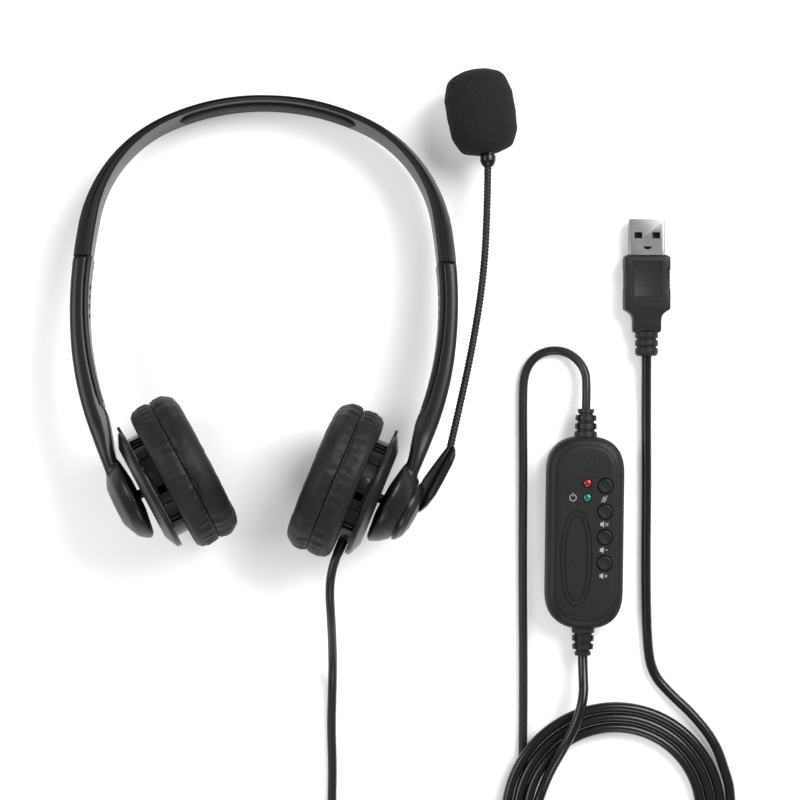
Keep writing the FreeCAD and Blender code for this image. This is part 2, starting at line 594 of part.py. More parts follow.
neck_turns = (1.0, 3.5, 6.0, 2.0)
neck_heading = size("neck_heading")
neck_point = BULBS["right"].multVec(Vector(-25.7, 0, -15.9))
for index, bend in enumerate(neck_turns):
    length, gap = size("neck_length"), size("neck_gap")
    half = math.radians(bend / 2)
    bend_radius = length / math.radians(bend)
    lead = math.radians(neck_heading)
    side_way = Vector(math.cos(lead), -math.sin(lead), 0)
    hub_point = neck_point - side_way * bend_radius

    def along(fraction):
        """A point on this piece's arc; the neck straightens as it rises."""
        angle = math.radians(bend) * fraction
        way = Rotation(Z_AXIS, math.degrees(angle)).multVec(side_way)
        return hub_point + way * bend_radius

    trim = gap / length / 2
    first = 0.0 if index == 0 else trim
    last = 1.0 if index == len(neck_turns) - 1 else 1.0 - trim
    start, end = along(first), along(last)
    path = Part.Wire([Part.Arc(start, along((first + last) / 2), end).toShape()])
    away = Vector(-side_way.y, side_way.x, 0)
    start_way = Rotation(Z_AXIS, bend * first).multVec(away)
    ring = Part.Wire([Part.Circle(start, start_way, size("neck_radius")).toShape()])
    node(shaped(f"gooseneck_{index + 1}", path.makePipeShell([ring], True, False), LAY * BOOM))
    neck_heading -= bend
    neck_point = along(1.0)

mic_frame = (LAY * BOOM * Placement(neck_point, Rotation(Z_AXIS, -neck_heading))
             * at(axis=X_AXIS, angle=-90))
mic_lean = mic_frame * at(z=size("mic_collar_length")) * at(axis=Y_AXIS, angle=-size("foam_lean"))
node(turned("mic_collar", [
    ("0", "0"), ("neck_radius + 0.5", "0"), ("mic_collar_radius", "mic_collar_length * 0.3"),
    ("mic_collar_radius", "mic_collar_length"), ("0", "mic_collar_length")], mic_frame))
node(turned("mic_capsule", [
    ("0", "0.6"), ("capsule_radius * 0.8", "0.6"), ("capsule_radius", "1.4"),
    ("capsule_radius", "capsule_length"), ("0", "capsule_length")], mic_lean))
foam_ball = primitive("Ellipsoid", "foam_ball", at(z=size("foam_half_length")),
                      Radius1="foam_half_length", Radius2="foam_radius", Radius3="foam_radius")
foam_ball.Angle1, foam_ball.Angle2, foam_ball.Angle3 = -90, 90, 360
foam_hole = primitive("Cylinder", "foam_hole", at(z=-1), Radius="capsule_radius",
                      Height="capsule_length + 1")
node(less("mic_foam", foam_ball, foam_hole, mic_lean))

# ---------------------------------------------------------------- controller
ON_TABLE = at(size("controller_x"), size("controller_y"), 0, Z_AXIS, size("controller_turn"))


def rounded_box(piece, height, lift="0"):
    """The controller's outline raised, with its four upright corners rounded."""
    raised(piece, outline(piece, "XY_Plane", rectangle("controller_width / 2",
                                                       "controller_length / 2"), lift=lift), height)
    doc.recompute()
    block = piece.Tip
    upright_edges = [f"Edge{i + 1}" for i, edge in enumerate(block.Shape.Edges)
                     if edge.BoundBox.ZLength > 1]
    fillet = piece.newObject("PartDesign::Fillet", piece.Label + "_corners")
    fillet.Base = (block, upright_edges)
    fillet.setExpression("Radius", bound("controller_round"))
    doc.recompute()


def bevel(piece, height):
    """A chamfer round the edge loop at a height."""
    block = piece.Tip
    loop = [f"Edge{i + 1}" for i, edge in enumerate(block.Shape.Edges)
            if abs(edge.BoundBox.ZMin - height) < 1e-4 and edge.BoundBox.ZLength < 1e-4]
    chamfer = piece.newObject("PartDesign::Chamfer", piece.Label + "_bevel")
    chamfer.Base = (block, loop)
    chamfer.setExpression("Size", bound("controller_bevel"))
    doc.recompute()


INNER = [(f"{sx}(controller_width / 2 - controller_wall - {cx})",
          f"{sy}(controller_length / 2 - controller_wall - {cy})")
         for sx, sy, cx, cy in (("-", "-", "5", "0"), ("", "-", "5", "0"), ("", "-", "0", "5"),
                                ("", "", "0", "5"), ("", "", "5", "0"), ("-", "", "5", "0"),
                                ("-", "", "0", "5"), ("-", "-", "0", "5"))]
base = body("controller_base", ON_TABLE)
rounded_box(base, "controller_split")
bevel(base, 0)
sunk(base, outline(base, "XY_Plane", INNER, lift="controller_wall"),
     "controller_split - controller_wall", up=True)
CONTROLLER_SCREWS = ("controller_length / 2 - 8", "8 - controller_length / 2")
for place_y in CONTROLLER_SCREWS:
    raised(base, disc(base, "boss_radius * 1.6", y=place_y, lift="controller_wall"),
           "board_set - controller_wall")
    sunk(base, disc(base, "screw_head_radius", y=place_y), "screw_head_height", up=True)
    sunk(base, disc(base, "screw_radius", y=place_y), "board_set", up=True)
node(base)

top = body("controller_top", ON_TABLE)
rounded_box(top, "controller_height - controller_split", lift="controller_split")
bevel(top, size("controller_height"))
sunk(top, outline(top, "XY_Plane", INNER, lift="controller_split"),
     "controller_height - controller_split - controller_wall", up=True)
BUTTONS = ("mic_mute_button", "speaker_mute_button", "volume_down_button", "volume_up_button")
for index in range(len(BUTTONS)):
    sunk(top, disc(top, "button_radius + button_clearance", x="button_x",
                   y=f"button_first_y - button_pitch * {index}", lift="controller_split"),
         "controller_height", up=True)
for index in range(2):
    sunk(top, disc(top, "lamp_radius", x="lamp_x", y=f"lamp_first_y - lamp_pitch * {index}",
                   lift="controller_split"), "controller_height", up=True)
node(top)

board = body("controller_board", ON_TABLE)
raised(board, outline(board, "XY_Plane", rectangle("controller_width / 2 - controller_wall - 1",
                                                   "controller_length / 2 - controller_wall - 6"),
                      lift="board_set"), "board_wall")
for index in range(len(BUTTONS)):
    raised(board, disc(board, "button_radius - 0.4", x="button_x",
                       y=f"button_first_y - button_pitch * {index}", lift="board_set + board_wall"),
           "controller_height - controller_wall - 2 * run_gap - button_flange - button_travel"
           " - board_set - board_wall")
for place_y in CONTROLLER_SCREWS:
    sunk(board, disc(board, "screw_radius", y=place_y, lift="board_set"), "board_wall", up=True)
node(board)

for index, label in enumerate(BUTTONS):
    button_place = ON_TABLE * at(size("button_x"), size("button_first_y")
                                 - size("button_pitch") * index)
    node(turned(label, [
        ("0", "controller_height - controller_wall - run_gap - button_flange"),
        ("button_radius + 0.8", "controller_height - controller_wall - run_gap - button_flange"),
        ("button_radius + 0.8", "controller_height - controller_wall - run_gap"),
        ("button_radius", "controller_height - controller_wall - run_gap"),
        ("button_radius", "controller_height + button_proud - 0.3"),
        ("button_radius - 0.3", "controller_height + button_proud"),
        ("0", "controller_height + button_proud")], button_place))
lamps = [primitive("Cylinder", f"lamp_{index}",
                   at(size("lamp_x"), size("lamp_first_y") - size("lamp_pitch") * index,
                      size("board_set") + size("board_wall")),
                   Radius="lamp_radius", Height="controller_height - board_set - board_wall + 0.2")
         for index in range(2)]
node(group("status_leds", lamps, ON_TABLE))
controller_screw_list = []
for end in (-1, 1):
    one = screw(6.4)
    one.rotate(ORIGIN, X_AXIS, 180)
    one.translate(Vector(0, end * (size("controller_length") / 2 - 8), 0))
    controller_screw_list.append(one)
node(shaped("controller_screws", Part.makeCompound(controller_screw_list), ON_TABLE))
cord_height = size("controller_height") / 2
reliefs = [primitive("Cone", f"relief_{index}",
                     at(0, end * size("controller_length") / 2, cord_height, X_AXIS, -90 * end),
                     Radius1="relief_radius", Radius2="relief_end_radius", Height="relief_length")
           for index, end in enumerate((1, -1))]
node(group("controller_strain_reliefs", reliefs, ON_TABLE))

# ---------------------------------------------------------------- plug
IN_PLUG = at(size("plug_x"), size("plug_y"), size("plug_axis_height"))
mould = body("plug_mould")
raised(mould, outline(mould, "XY_Plane", [
    ("-mould_width / 2", "0"), ("-mould_width / 2", "-mould_length"),
    ("-neck_width / 2", "-mould_length - 3"), ("-neck_width / 2", "-mould_length - 7.8"),
    ("neck_width / 2", "-mould_length - 7.8"), ("neck_width / 2", "-mould_length - 3"),
    ("mould_width / 2", "-mould_length"), ("mould_width / 2", "0")]), "mould_height", both_ways=True)
sunk(mould, outline(mould, "XZ_Plane", rectangle("shell_width / 2", "shell_height / 2")),
     "shell_seat * 2", both_ways=True)
relief = primitive("Cylinder", "plug_relief", at(y=-size("mould_length") - 7.8, axis=X_AXIS, angle=90),
                   Radius="plug_relief_radius", Height="-plug_relief_end - mould_length - 7.8")
node(joined("plug_body", [mould, relief], IN_PLUG))

shell = body("plug_shell", IN_PLUG)
raised(shell, outline(shell, "XY_Plane", [
    ("-shell_width / 2", "-shell_seat"), ("shell_width / 2", "-shell_seat"),
    ("shell_width / 2", "shell_reach"), ("-shell_width / 2", "shell_reach")]),
    "shell_height", both_ways=True)
sunk(shell, outline(shell, "XZ_Plane", rectangle("shell_width / 2 - shell_wall",
                                                 "shell_height / 2 - shell_wall")),
     "shell_reach * 2 + shell_seat", both_ways=True)
for across in ("-1", "1"):
    sunk(shell, outline(shell, "XY_Plane", rectangle("1.25", "1.25", x=f"{across} * 3.05",
                                                     y="shell_reach * 0.49")),
         "shell_height + 1", both_ways=True)
node(shell)
tongue = body("plug_tongue", IN_PLUG)
raised(tongue, outline(tongue, "XY_Plane", [
    ("-shell_width / 2 + shell_wall", "-shell_seat"), ("shell_width / 2 - shell_wall", "-shell_seat"),
    ("shell_width / 2 - shell_wall", "shell_reach - 0.6"),
    ("-shell_width / 2 + shell_wall", "shell_reach - 0.6")], lift="-shell_height / 2 + shell_wall"),
    "1.8")
node(tongue)

# ---------------------------------------------------------------- cords


def cord_solid(label, points, radius):
    """A round cord along straight runs joined by tangent arcs, as large as the runs allow."""
    points = [Vector(*point) for point in points]
    edges, here, radii = [], points[0], []
    for before, corner, after in zip(points, points[1:], points[2:]):
        come, go = (corner - before), (after - corner)
        half_turn = come.getAngle(go) / 2
        shorter = min(come.Length, go.Length)
        come.normalize()
        go.normalize()
        cut_back = 0.45 * shorter
        arc_radius = cut_back / math.tan(half_turn)
        radii.append(arc_radius)
        start, end = corner - come * cut_back, corner + go * cut_back
        middle_way = go - come
        middle_way.normalize()
        middle = corner + middle_way * (arc_radius / math.cos(half_turn) - arc_radius)
        edges.append(Part.LineSegment(here, start).toShape())
        edges.append(Part.Arc(start, middle, end).toShape())
        here = end
    edges.append(Part.LineSegment(here, points[-1]).toShape())
    path = Part.Wire(edges)
    way = points[1] - points[0]
    ring = Part.Wire([Part.Circle(points[0], way, radius).toShape()])
    tube = path.makePipeShell([ring], True, False)
    expected = math.pi * radius ** 2 * path.Length
    print(f"{label}: length {path.Length:.1f}, least arc radius {min(radii):.1f}, "
          f"volume off by {abs(tube.Volume / expected - 1):.4f}")
    return node(shaped(label, tube))


def coil_solid(label, inner, outer, height, place):
    """The outer shape of a coil: a flat ring with rounded edges."""
    edge = height * 0.3
    corners = [Vector(inner + edge, 0, 0), Vector(outer - edge, 0, 0), Vector(outer, 0, edge),
               Vector(outer, 0, height - edge), Vector(outer - edge, 0, height),
               Vector(inner + edge, 0, height), Vector(inner, 0, height - edge),
               Vector(inner, 0, edge)]
    ring = Part.Face(Part.makePolygon(corners + corners[:1])).revolve(ORIGIN, Z_AXIS, 360)
    return node(shaped(label, ring, place))


cup_exit = LAY * CUPS["right"]
relief_cone = primitive("Cone", "cup_strain_relief",
                        cup_exit * at(size("wall_radius") - size("cup_wall"), 0,
                                      size("cup_relief_set"), Y_AXIS, 90),
                        Radius1="cup_relief_radius", Radius2="headset_cord_radius + 0.1",
                        Height="cup_relief_end - wall_radius + cup_wall")
relief_cone.Label = "cup_strain_relief"
node(relief_cone)
leave = cup_exit.multVec(Vector(size("cup_relief_end"), 0, size("cup_relief_set")))
leave_on = cup_exit.multVec(Vector(size("cup_relief_end") + 4.5, 0, size("cup_relief_set")))
HEADSET_CORD = [tuple(leave), tuple(leave_on), (11.5, -91.9, 27.4), (12.1, -100.9, 22.0),
                (12.6, -109.4, 13.2), (12.9, -118.4, 5.2), (12.7, -128.9, 1.9), (12.4, -140.9, 1.5),
                (12.9, -153.9, 1.5), (12.5, -168.9, 1.5), (13.1, -182.9, 1.5)]
cord_solid("headset_cord", HEADSET_CORD, size("headset_cord_radius"))
coil_solid("headset_cord_coil", size("store_coil_inner"), size("store_coil_outer"),
           size("store_coil_height"), at(size("store_coil_x"), size("store_coil_y")))

top_exit = ON_TABLE.multVec(Vector(0, size("controller_length") / 2 + size("relief_length"),
                                   cord_height))
CONTROLLER_CORD = [(34.1, -208.5, 1.5), (45.6, -211.4, 1.5), (58.6, -209.4, 1.5), (69.1, -202.4, 1.5),
                   (75.6, -191.9, 1.5), (77.9, -177.9, 1.5), (77.4, -155.9, 1.5), (77.8, -125.9, 1.5),
                   (77.4, -87.9, 1.5), (77.7, -53.9, 1.5), (77.5, -31.9, 1.5), (77.8, -19.1, 1.5),
                   (83.6, -12.5, 1.7), (92.6, -12.3, 2.4), (98.7, -18.5, 4.6),
                   (98.8, -26.3, 6.3), tuple(top_exit)]
cord_solid("controller_cord", CONTROLLER_CORD, size("headset_cord_radius"))

low_exit = ON_TABLE.multVec(Vector(0, -size("controller_length") / 2 - size("relief_length"),
                                   cord_height))
USB_CORD_START = [tuple(low_exit), (97.5, -121.9, 7.6), (97.5, -129.4, 10.6), (94.8, -138.4, 11.8),
                  (90.4, -146.9, 10.2), (86.2, -154.9, 7.0), (83.2, -162.9, 5.0)]
cord_solid("usb_cord_start", USB_CORD_START, size("usb_cord_radius"))
tilt = math.radians(size("usb_coil_tilt"))
usb_coil_place = (at(size("usb_coil_x"), size("usb_coil_y"), size("usb_coil_outer") * math.sin(tilt))
                  * at(axis=Y_AXIS, angle=size("usb_coil_tilt")))
coil_solid("usb_cord_coil", size("usb_coil_inner"), size("usb_coil_outer"),
           size("usb_coil_height"), usb_coil_place)
USB_CORD_END = [(146.8, -156.7, 2.2), (143.2, -145.9, 1.9), (135.4, -136.1, 1.7),
                (127.4, -128.9, 1.7), (121.4, -121.9, 1.7), (119.8, -110.9, 1.7),
                (119.4, -87.9, 1.7), (119.7, -57.9, 1.7), (119.5, -31.9, 2.3),
                (size("plug_x"), size("plug_y") + size("plug_relief_end"), size("plug_axis_height"))]
cord_solid("usb_cord_end", USB_CORD_END, size("usb_cord_radius"))

# ---------------------------------------------------------------- check and write
doc.recompute()
faults = [item.Name for item in doc.Objects if {"Invalid", "Error"} & set(item.State)]
faults += [piece.Label for piece in NODES if piece.Shape.isNull() or not piece.Shape.isValid()]
faults += [piece.Label for piece in NODES if not piece.Shape.Solids]
if faults:
    raise ValueError("failed objects: " + ", ".join(faults))
os.makedirs("parts", exist_ok=True)
for piece in NODES:
    piece.Shape.exportStep(f"parts/{piece.Label}.step")
print(len(NODES), "sub-parts written")
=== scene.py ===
"""Office headset laid flat: the looks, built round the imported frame. Lengths are written in millimetres
and every place matrix ends in metres."""
import json
import math

import bmesh
import bpy
from mathutils import Matrix, Vector, noise

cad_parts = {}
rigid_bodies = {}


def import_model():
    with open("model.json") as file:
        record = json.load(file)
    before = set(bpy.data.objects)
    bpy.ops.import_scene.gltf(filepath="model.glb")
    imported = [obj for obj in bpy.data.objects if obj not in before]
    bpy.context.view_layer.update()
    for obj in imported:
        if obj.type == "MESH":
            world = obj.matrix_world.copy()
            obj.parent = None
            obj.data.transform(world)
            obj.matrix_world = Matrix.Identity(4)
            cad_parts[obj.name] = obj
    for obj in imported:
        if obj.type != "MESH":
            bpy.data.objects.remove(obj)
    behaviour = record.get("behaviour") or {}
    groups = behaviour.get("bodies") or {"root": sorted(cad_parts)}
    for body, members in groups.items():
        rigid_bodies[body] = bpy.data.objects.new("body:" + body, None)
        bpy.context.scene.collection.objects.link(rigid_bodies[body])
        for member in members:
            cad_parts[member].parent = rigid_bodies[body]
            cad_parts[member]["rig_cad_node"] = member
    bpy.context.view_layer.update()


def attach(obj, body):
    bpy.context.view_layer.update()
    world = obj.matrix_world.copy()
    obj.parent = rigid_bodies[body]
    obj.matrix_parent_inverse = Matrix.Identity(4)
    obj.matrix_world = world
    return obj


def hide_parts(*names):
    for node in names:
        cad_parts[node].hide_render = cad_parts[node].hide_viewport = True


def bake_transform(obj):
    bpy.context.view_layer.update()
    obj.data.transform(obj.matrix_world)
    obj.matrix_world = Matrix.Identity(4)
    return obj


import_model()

# ---- camera, floor and light
# The set is plain: a pale sheet under the headset, a large soft lamp from the upper right,
# a weaker one from the left and a dim, even sky. The camera looks almost straight down.
METRES = Matrix.Scale(0.001, 4)
MIDDLE = Vector((0.0358, -0.0292, 0.0))
CAMERA_STEP, CAMERA_HEIGHT = 0.034, 0.9994
HALF_VIEW = 0.136

bpy.ops.object.camera_add(location=MIDDLE + Vector((-CAMERA_STEP, 0, CAMERA_HEIGHT)),
                          rotation=(0, -math.atan(CAMERA_STEP / CAMERA_HEIGHT), 0))
camera = bpy.context.object
camera.data.sensor_width = 36
camera.data.lens = camera.data.sensor_width / 2 / HALF_VIEW
bpy.context.scene.camera = camera
bpy.context.scene.view_settings.view_transform = "Standard"


class Wire:
    """A shader socket. Python's operators on it add Math nodes."""

    def __init__(self, shader, socket):
        self.shader, self.socket = shader, socket

    def math(self, operation, *values):
        return self.shader.add("ShaderNodeMath", {"operation": operation}, *values)

    def __add__(self, other):
        return self.math("ADD", self, other)

    def __sub__(self, other):
        return self.math("SUBTRACT", self, other)

    def __rsub__(self, other):
        return self.math("SUBTRACT", other, self)

    def __mul__(self, other):
        return self.math("MULTIPLY", self, other)

    __radd__, __rmul__ = __add__, __mul__


class Shader:
    """A material with one Principled surface, and a way to add any other node to it."""

    def __init__(self, name, tree=None, **sockets):
        self.material = None
        if tree is None:
            self.material = bpy.data.materials.new(name)
            self.material.use_nodes = True
            tree = self.material.node_tree
        self.tree = tree
        self.surface = tree.nodes.get("Principled BSDF")
        for socket, value in sockets.items():
            self.surface.inputs[socket.replace("_", " ")].default_value = value

    def add(self, kind, settings, *values, out=0, **named):
        node = self.tree.nodes.new(kind)
        for key, value in settings.items():
            setattr(node, key, value)
        for key, value in [*enumerate(values), *named.items()]:
            socket = node.inputs[key if isinstance(key, int) else key.replace("_", " ")]
            if isinstance(value, Wire):
                self.tree.links.new(value.socket, socket)
            else:
                socket.default_value = value
        return Wire(self, node.outputs[out])

    def paint(self, socket, wire):
        self.tree.links.new(wire.socket, self.surface.inputs[socket])

    def place(self):
        return self.add("ShaderNodeTexCoord", {}, out="Object")

    def speckle(self, scale, detail=2.0, where=None):
        return self.add("ShaderNodeTexNoise", {}, Vector=where or self.place(), Scale=scale,
                        Detail=detail)

    def blend(self, share, dark, light):
        node = self.tree.nodes.new("ShaderNodeMix")
        node.data_type = "RGBA"
        for index, value in ((0, share), (6, dark), (7, light)):
            if isinstance(value, Wire):
                self.tree.links.new(value.socket, node.inputs[index])
            else:
                node.inputs[index].default_value = value
        return Wire(self, node.outputs[2])

    def bump(self, height, depth):
        self.paint("Normal", self.add("ShaderNodeBump", {}, Strength=1.0, Distance=depth,
                                      Height=height))


def grey(level, warm=0.0):
    return (level * (1 + warm), level, level * (1 - warm), 1.0)


bpy.ops.mesh.primitive_plane_add(size=6, location=MIDDLE)
floor = bpy.context.object
floor.name = "floor"
sheet = Shader("pale_sheet", Base_Color=grey(0.9), Roughness=0.8, Emission_Color=grey(1.0))
seen = (sheet.add("ShaderNodeLightPath", {}, out="Is Camera Ray")
        + sheet.add("ShaderNodeLightPath", {}, out="Is Glossy Ray"))
sheet.paint("Emission Strength", seen * 0.16)
floor.data.materials.append(sheet.material)

world = bpy.data.worlds.new("soft_sky")
bpy.context.scene.world = world
world.use_nodes = True
sky = Shader("soft_sky", tree=world.node_tree)
backdrop = sky.tree.nodes["Background"]
glow = sky.add("ShaderNodeLightPath", {}, out="Is Camera Ray") * 0.65 + 0.35
sky.tree.links.new(glow.socket, backdrop.inputs["Strength"])
backdrop.inputs["Color"].default_value = grey(1.0)

for name, spot, size, power in (("key", (0.75, 0.55, 1.0), 0.7, 19.0),
                                ("fill", (-0.8, 0.1, 0.8), 0.6, 6.0),
                                ("low", (0.1, -1.0, 0.8), 0.5, 4.0)):
    bpy.ops.object.light_add(type="AREA", location=spot)
    lamp = bpy.context.object
    lamp.name = name + "_lamp"
    lamp.data.size = size
    lamp.data.energy = power
    lamp.rotation_euler = (MIDDLE - Vector(spot)).to_track_quat("-Z", "Y").to_euler()

# ---- cords
# Two soft PVC cords: a satin one from the right cup to the controller, whose spare length is put
# away in a small round coil, and a glossy one from the controller, loosely coiled, to the plug.
BAND_HALF, LAY_TILT, LAY_TURN = 10.0, 6.887, -0.95


def moved(x, y, z):
    return Matrix.Translation((x, y, z))


def spun(degrees, axis="Z"):
    return Matrix.Rotation(math.radians(degrees), 4, axis)


LAY = (METRES @ moved(-8.8, 72.5, BAND_HALF * math.cos(math.radians(LAY_TILT)))
       @ spun(LAY_TURN) @ spun(-LAY_TILT, "X"))
BALL_X, BALL_Y, BALL_SET = 42.8, -136.0, 7.0
SIDES = {"left": -1, "right": 1}


def cup_frame(side, slant):
    """Origin at the disc's rim, +Z to the ear, +X down towards the cup's foot."""
    lean = math.radians(slant)
    to_ear = Vector((-side * math.cos(lean), math.sin(lean), 0))
    to_foot = Vector((-side * math.sin(lean), -math.cos(lean), 0))
    turn = Matrix((to_foot, to_ear.cross(to_foot), to_ear)).transposed().to_4x4()
    return Matrix.Translation(Vector((side * BALL_X, BALL_Y, 0)) + to_ear * BALL_SET) @ turn


CUPS = {"left": cup_frame(-1, 29.0), "right": cup_frame(1, 21.65)}
BULBS = {name: cup_frame(side, 27.0) for name, side in SIDES.items()}
CUP_RELIEF_END, CUP_RELIEF_SET = 22.5, 2.7
leave, leave_on = (1000 * (LAY @ CUPS["right"] @ Vector((CUP_RELIEF_END + more, 0, CUP_RELIEF_SET)))
                   for more in (0.0, 4.5))
HEADSET_CORD = [tuple(leave), tuple(leave_on), (11.5, -91.9, 27.4), (12.1, -100.9, 22.0),
                (12.6, -109.4, 13.2), (12.9, -118.4, 5.2), (12.7, -128.9, 1.9), (12.4, -140.9, 1.5),
                (12.9, -153.9, 1.5), (12.5, -168.9, 1.5)]
STORE_CENTRE = (29.1, -190.9)
STORE_RADII, STORE_LOW, STORE_HIGH = (13.4, 16.5, 19.6), 1.9, 5.0
STORE_SLOTS = [(0.0, STORE_RADII[1], STORE_LOW), (0.95, STORE_RADII[0], STORE_LOW),
               (1.80, STORE_RADII[0], STORE_HIGH), (2.65, STORE_RADII[1], STORE_HIGH),
               (3.50, STORE_RADII[2], STORE_HIGH), (4.20, 18.0, 1.5)]
STORE_CHANGE = 0.15
STORE_STEPS = 16
store_turns = []
for step in range(1, round(STORE_SLOTS[-1][0] * STORE_STEPS)):
    turn = step / STORE_STEPS
    radius, height = STORE_SLOTS[0][1:]
    for until, next_radius, next_height in STORE_SLOTS[1:]:
        share = min(max((turn - until + STORE_CHANGE) / STORE_CHANGE, 0), 1)
        radius += (next_radius - radius) * share
        height += (next_height - height) * share
    angle = math.pi + turn * math.tau
    store_turns.append((STORE_CENTRE[0] + radius * math.cos(angle),
                        STORE_CENTRE[1] + radius * math.sin(angle), height))
CONTROLLER_CORD = [(34.1, -208.5, 1.5), (45.6, -211.4, 1.5), (58.6, -209.4, 1.5), (69.1, -202.4, 1.5),
                   (75.6, -191.9, 1.5), (77.9, -177.9, 1.5), (77.4, -155.9, 1.5), (77.8, -125.9, 1.5),
                   (77.4, -87.9, 1.5), (77.7, -53.9, 1.5), (77.5, -31.9, 1.5), (77.8, -19.1, 1.5),
                   (83.6, -12.5, 1.7), (92.6, -12.3, 2.4), (98.7, -18.5, 4.6), (98.8, -26.3, 6.3)]
CONTROLLER_LONG, RELIEF_LONG, CORD_HEIGHT = 65.0, 9.2, 6.5
ON_TABLE = METRES @ moved(98.0, -73.9, 0) @ spun(-0.8)
top_exit, low_exit = (1000 * (ON_TABLE @ Vector((0, end * (CONTROLLER_LONG / 2 + RELIEF_LONG),
                                                 CORD_HEIGHT))) for end in (1, -1))
USB_CORD_START = [tuple(low_exit), (97.5, -121.9, 7.6), (97.5, -129.4, 10.6), (94.8, -138.4, 11.8),
                  (90.4, -146.9, 10.2), (86.2, -154.9, 7.0), (83.2, -162.9, 5.0)]
USB_CENTRE, USB_TILT, USB_RIM = (109.1, -170.2), math.radians(2.64), 41.8
USB_INNER, USB_OUTER, USB_FIRST, USB_LAST = 27.5, 40.1, 176.0, 1452.0
USB_STEPS = 64
usb_turns = []
for step in range(USB_STEPS + 1):
    share = step / USB_STEPS
    angle = math.radians(USB_FIRST + (USB_LAST - USB_FIRST) * share)
    radius = USB_INNER + (USB_OUTER - USB_INNER) * share
    across, along = radius * math.cos(angle), radius * math.sin(angle)
    usb_turns.append((USB_CENTRE[0] + across, USB_CENTRE[1] + along,
                      1.8 + (USB_RIM - across) * math.sin(USB_TILT)))
PLUG_X, PLUG_Y, PLUG_HEIGHT, PLUG_END = 119.4, 19.7, 4.2, -34.0
USB_CORD_END = [(146.8, -156.7, 2.2), (143.2, -145.9, 1.9), (135.4, -136.1, 1.7),
                (127.4, -128.9, 1.7), (121.4, -121.9, 1.7), (119.8, -110.9, 1.7),
                (119.4, -87.9, 1.7), (119.7, -57.9, 1.7), (119.5, -31.9, 2.3),
                (PLUG_X, PLUG_Y + PLUG_END, PLUG_HEIGHT)]


def cord(name, points, diameter, look):
    """A round cord whose own line is one smooth spline through its route."""
    data = bpy.data.curves.new(name, "CURVE")
    data.dimensions = "3D"
    data.resolution_u = 6
    data.bevel_depth = diameter / 2000
    data.bevel_resolution = 5
    line = data.splines.new("NURBS")
    line.points.add(len(points) - 1)
    for point, place in zip(line.points, points):
        point.co = (*(METRES @ Vector(place)), 1.0)
    line.order_u = 3
    line.use_endpoint_u = True
    piece = bpy.data.objects.new(name, data)
    bpy.context.scene.collection.objects.link(piece)
    data.materials.append(look.material)
    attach(piece, "right_cup")
    return piece


def jacket(name, level, roughness, wave):
    """Soft PVC: faint flow lines and handling marks on an even black."""
    look = Shader(name, Specular_IOR_Level=0.35)
    broad = look.speckle(90, 3)
    fine = look.speckle(2600, 2)
    look.paint("Base Color", look.blend(broad, grey(level * 0.8), grey(level * 1.25)))
    look.paint("Roughness", roughness + (broad - 0.5) * 0.16 + (fine - 0.5) * 0.1)
    look.bump(fine + look.speckle(300, 2) * 2, wave)
    return look


MATT_CORD, GLOSS_CORD = 3.0, 3.4
satin = jacket("satin_cord", 0.009, 0.36, 0.00002)
glossy = jacket("glossy_cord", 0.006, 0.2, 0.00001)
headset_line = [*HEADSET_CORD, *store_turns, *CONTROLLER_CORD, tuple(top_exit)]
headset_cord = cord("headset_cord_line", headset_line, MATT_CORD, satin)
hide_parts("headset_cord", "headset_cord_coil", "controller_cord")
usb_line = [*USB_CORD_START, *usb_turns, *USB_CORD_END]
usb_cord = cord("usb_cord_line", usb_line, GLOSS_CORD, glossy)
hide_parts("usb_cord_start", "usb_cord_coil", "usb_cord_end")

BUTTONS = ("mic_mute_button", "speaker_mute_button", "volume_down_button", "volume_up_button")
METRES @ leave

# ---- headband
# A sprung bar moulded in black nylon: wide and thin over the crown, narrower and thicker at its
# ends, with a fine groove along each edge. A steel tongue leaves each end for the arm.
CROWN_ARCS = [(78.3, 25.15), (51.5, 54.65), (145.7, 4.4)]
INNER_ARCS = [(75.3, 25.15), (42.0, 54.65), (199.0, 4.4)]
BAND_WALL, END_HALF, BAND_TURN = 3.0, 7.7, 84.2


def only(piece):
    """Leaves one object selected and active."""
    bpy.ops.object.select_all(action="DESELECT")
    piece.select_set(True)
    bpy.context.view_layer.objects.active = piece


def rounded(corners, steps=3, closed=True):
    """An outline through (x, y, radius) corners, each turned by a short curve."""
    points = []
    for i, (x, y, radius) in enumerate(corners):
        here = Vector((x, y))
        if radius == 0 or (not closed and i in (0, len(corners) - 1)):
            points.append(here)
            continue
        before = Vector(corners[i - 1][:2]) - here
        after = Vector(corners[(i + 1) % len(corners)][:2]) - here
        back = min(radius / math.tan(before.angle(after) / 2), before.length * 0.48,
                   after.length * 0.48)
        start, end = here + before.normalized() * back, here + after.normalized() * back
        for step in range(steps + 1):
            share = step / steps
            points.append(start * (1 - share) ** 2 + here * 2 * share * (1 - share)
                          + end * share ** 2)
    return points


def cleaned(piece):
    """Merges doubles, closes open ends and turns every face outwards."""
    only(piece)
    bpy.ops.object.mode_set(mode="EDIT")
    bpy.ops.mesh.select_all(action="SELECT")
    bpy.ops.mesh.remove_doubles(threshold=1e-4)
    bpy.ops.mesh.fill_holes(sides=0)
    bpy.ops.mesh.normals_make_consistent(inside=False)
    bpy.ops.object.mode_set(mode="OBJECT")
    return piece


def lofted(name, rings):
    """A skin through rings of as many points each, laid from a grid and closed round its seam."""
    rows, columns = len(rings) - 1, len(rings[0])
    bpy.ops.mesh.primitive_grid_add(x_subdivisions=rows, y_subdivisions=columns, size=2)
    piece = bpy.context.object
    piece.name = piece.data.name = name
    for vertex in piece.data.vertices:
        row = round((vertex.co.x + 1) / 2 * rows)
        column = round((vertex.co.y + 1) / 2 * columns)
        vertex.co = rings[row][column % columns]
    return cleaned(piece)


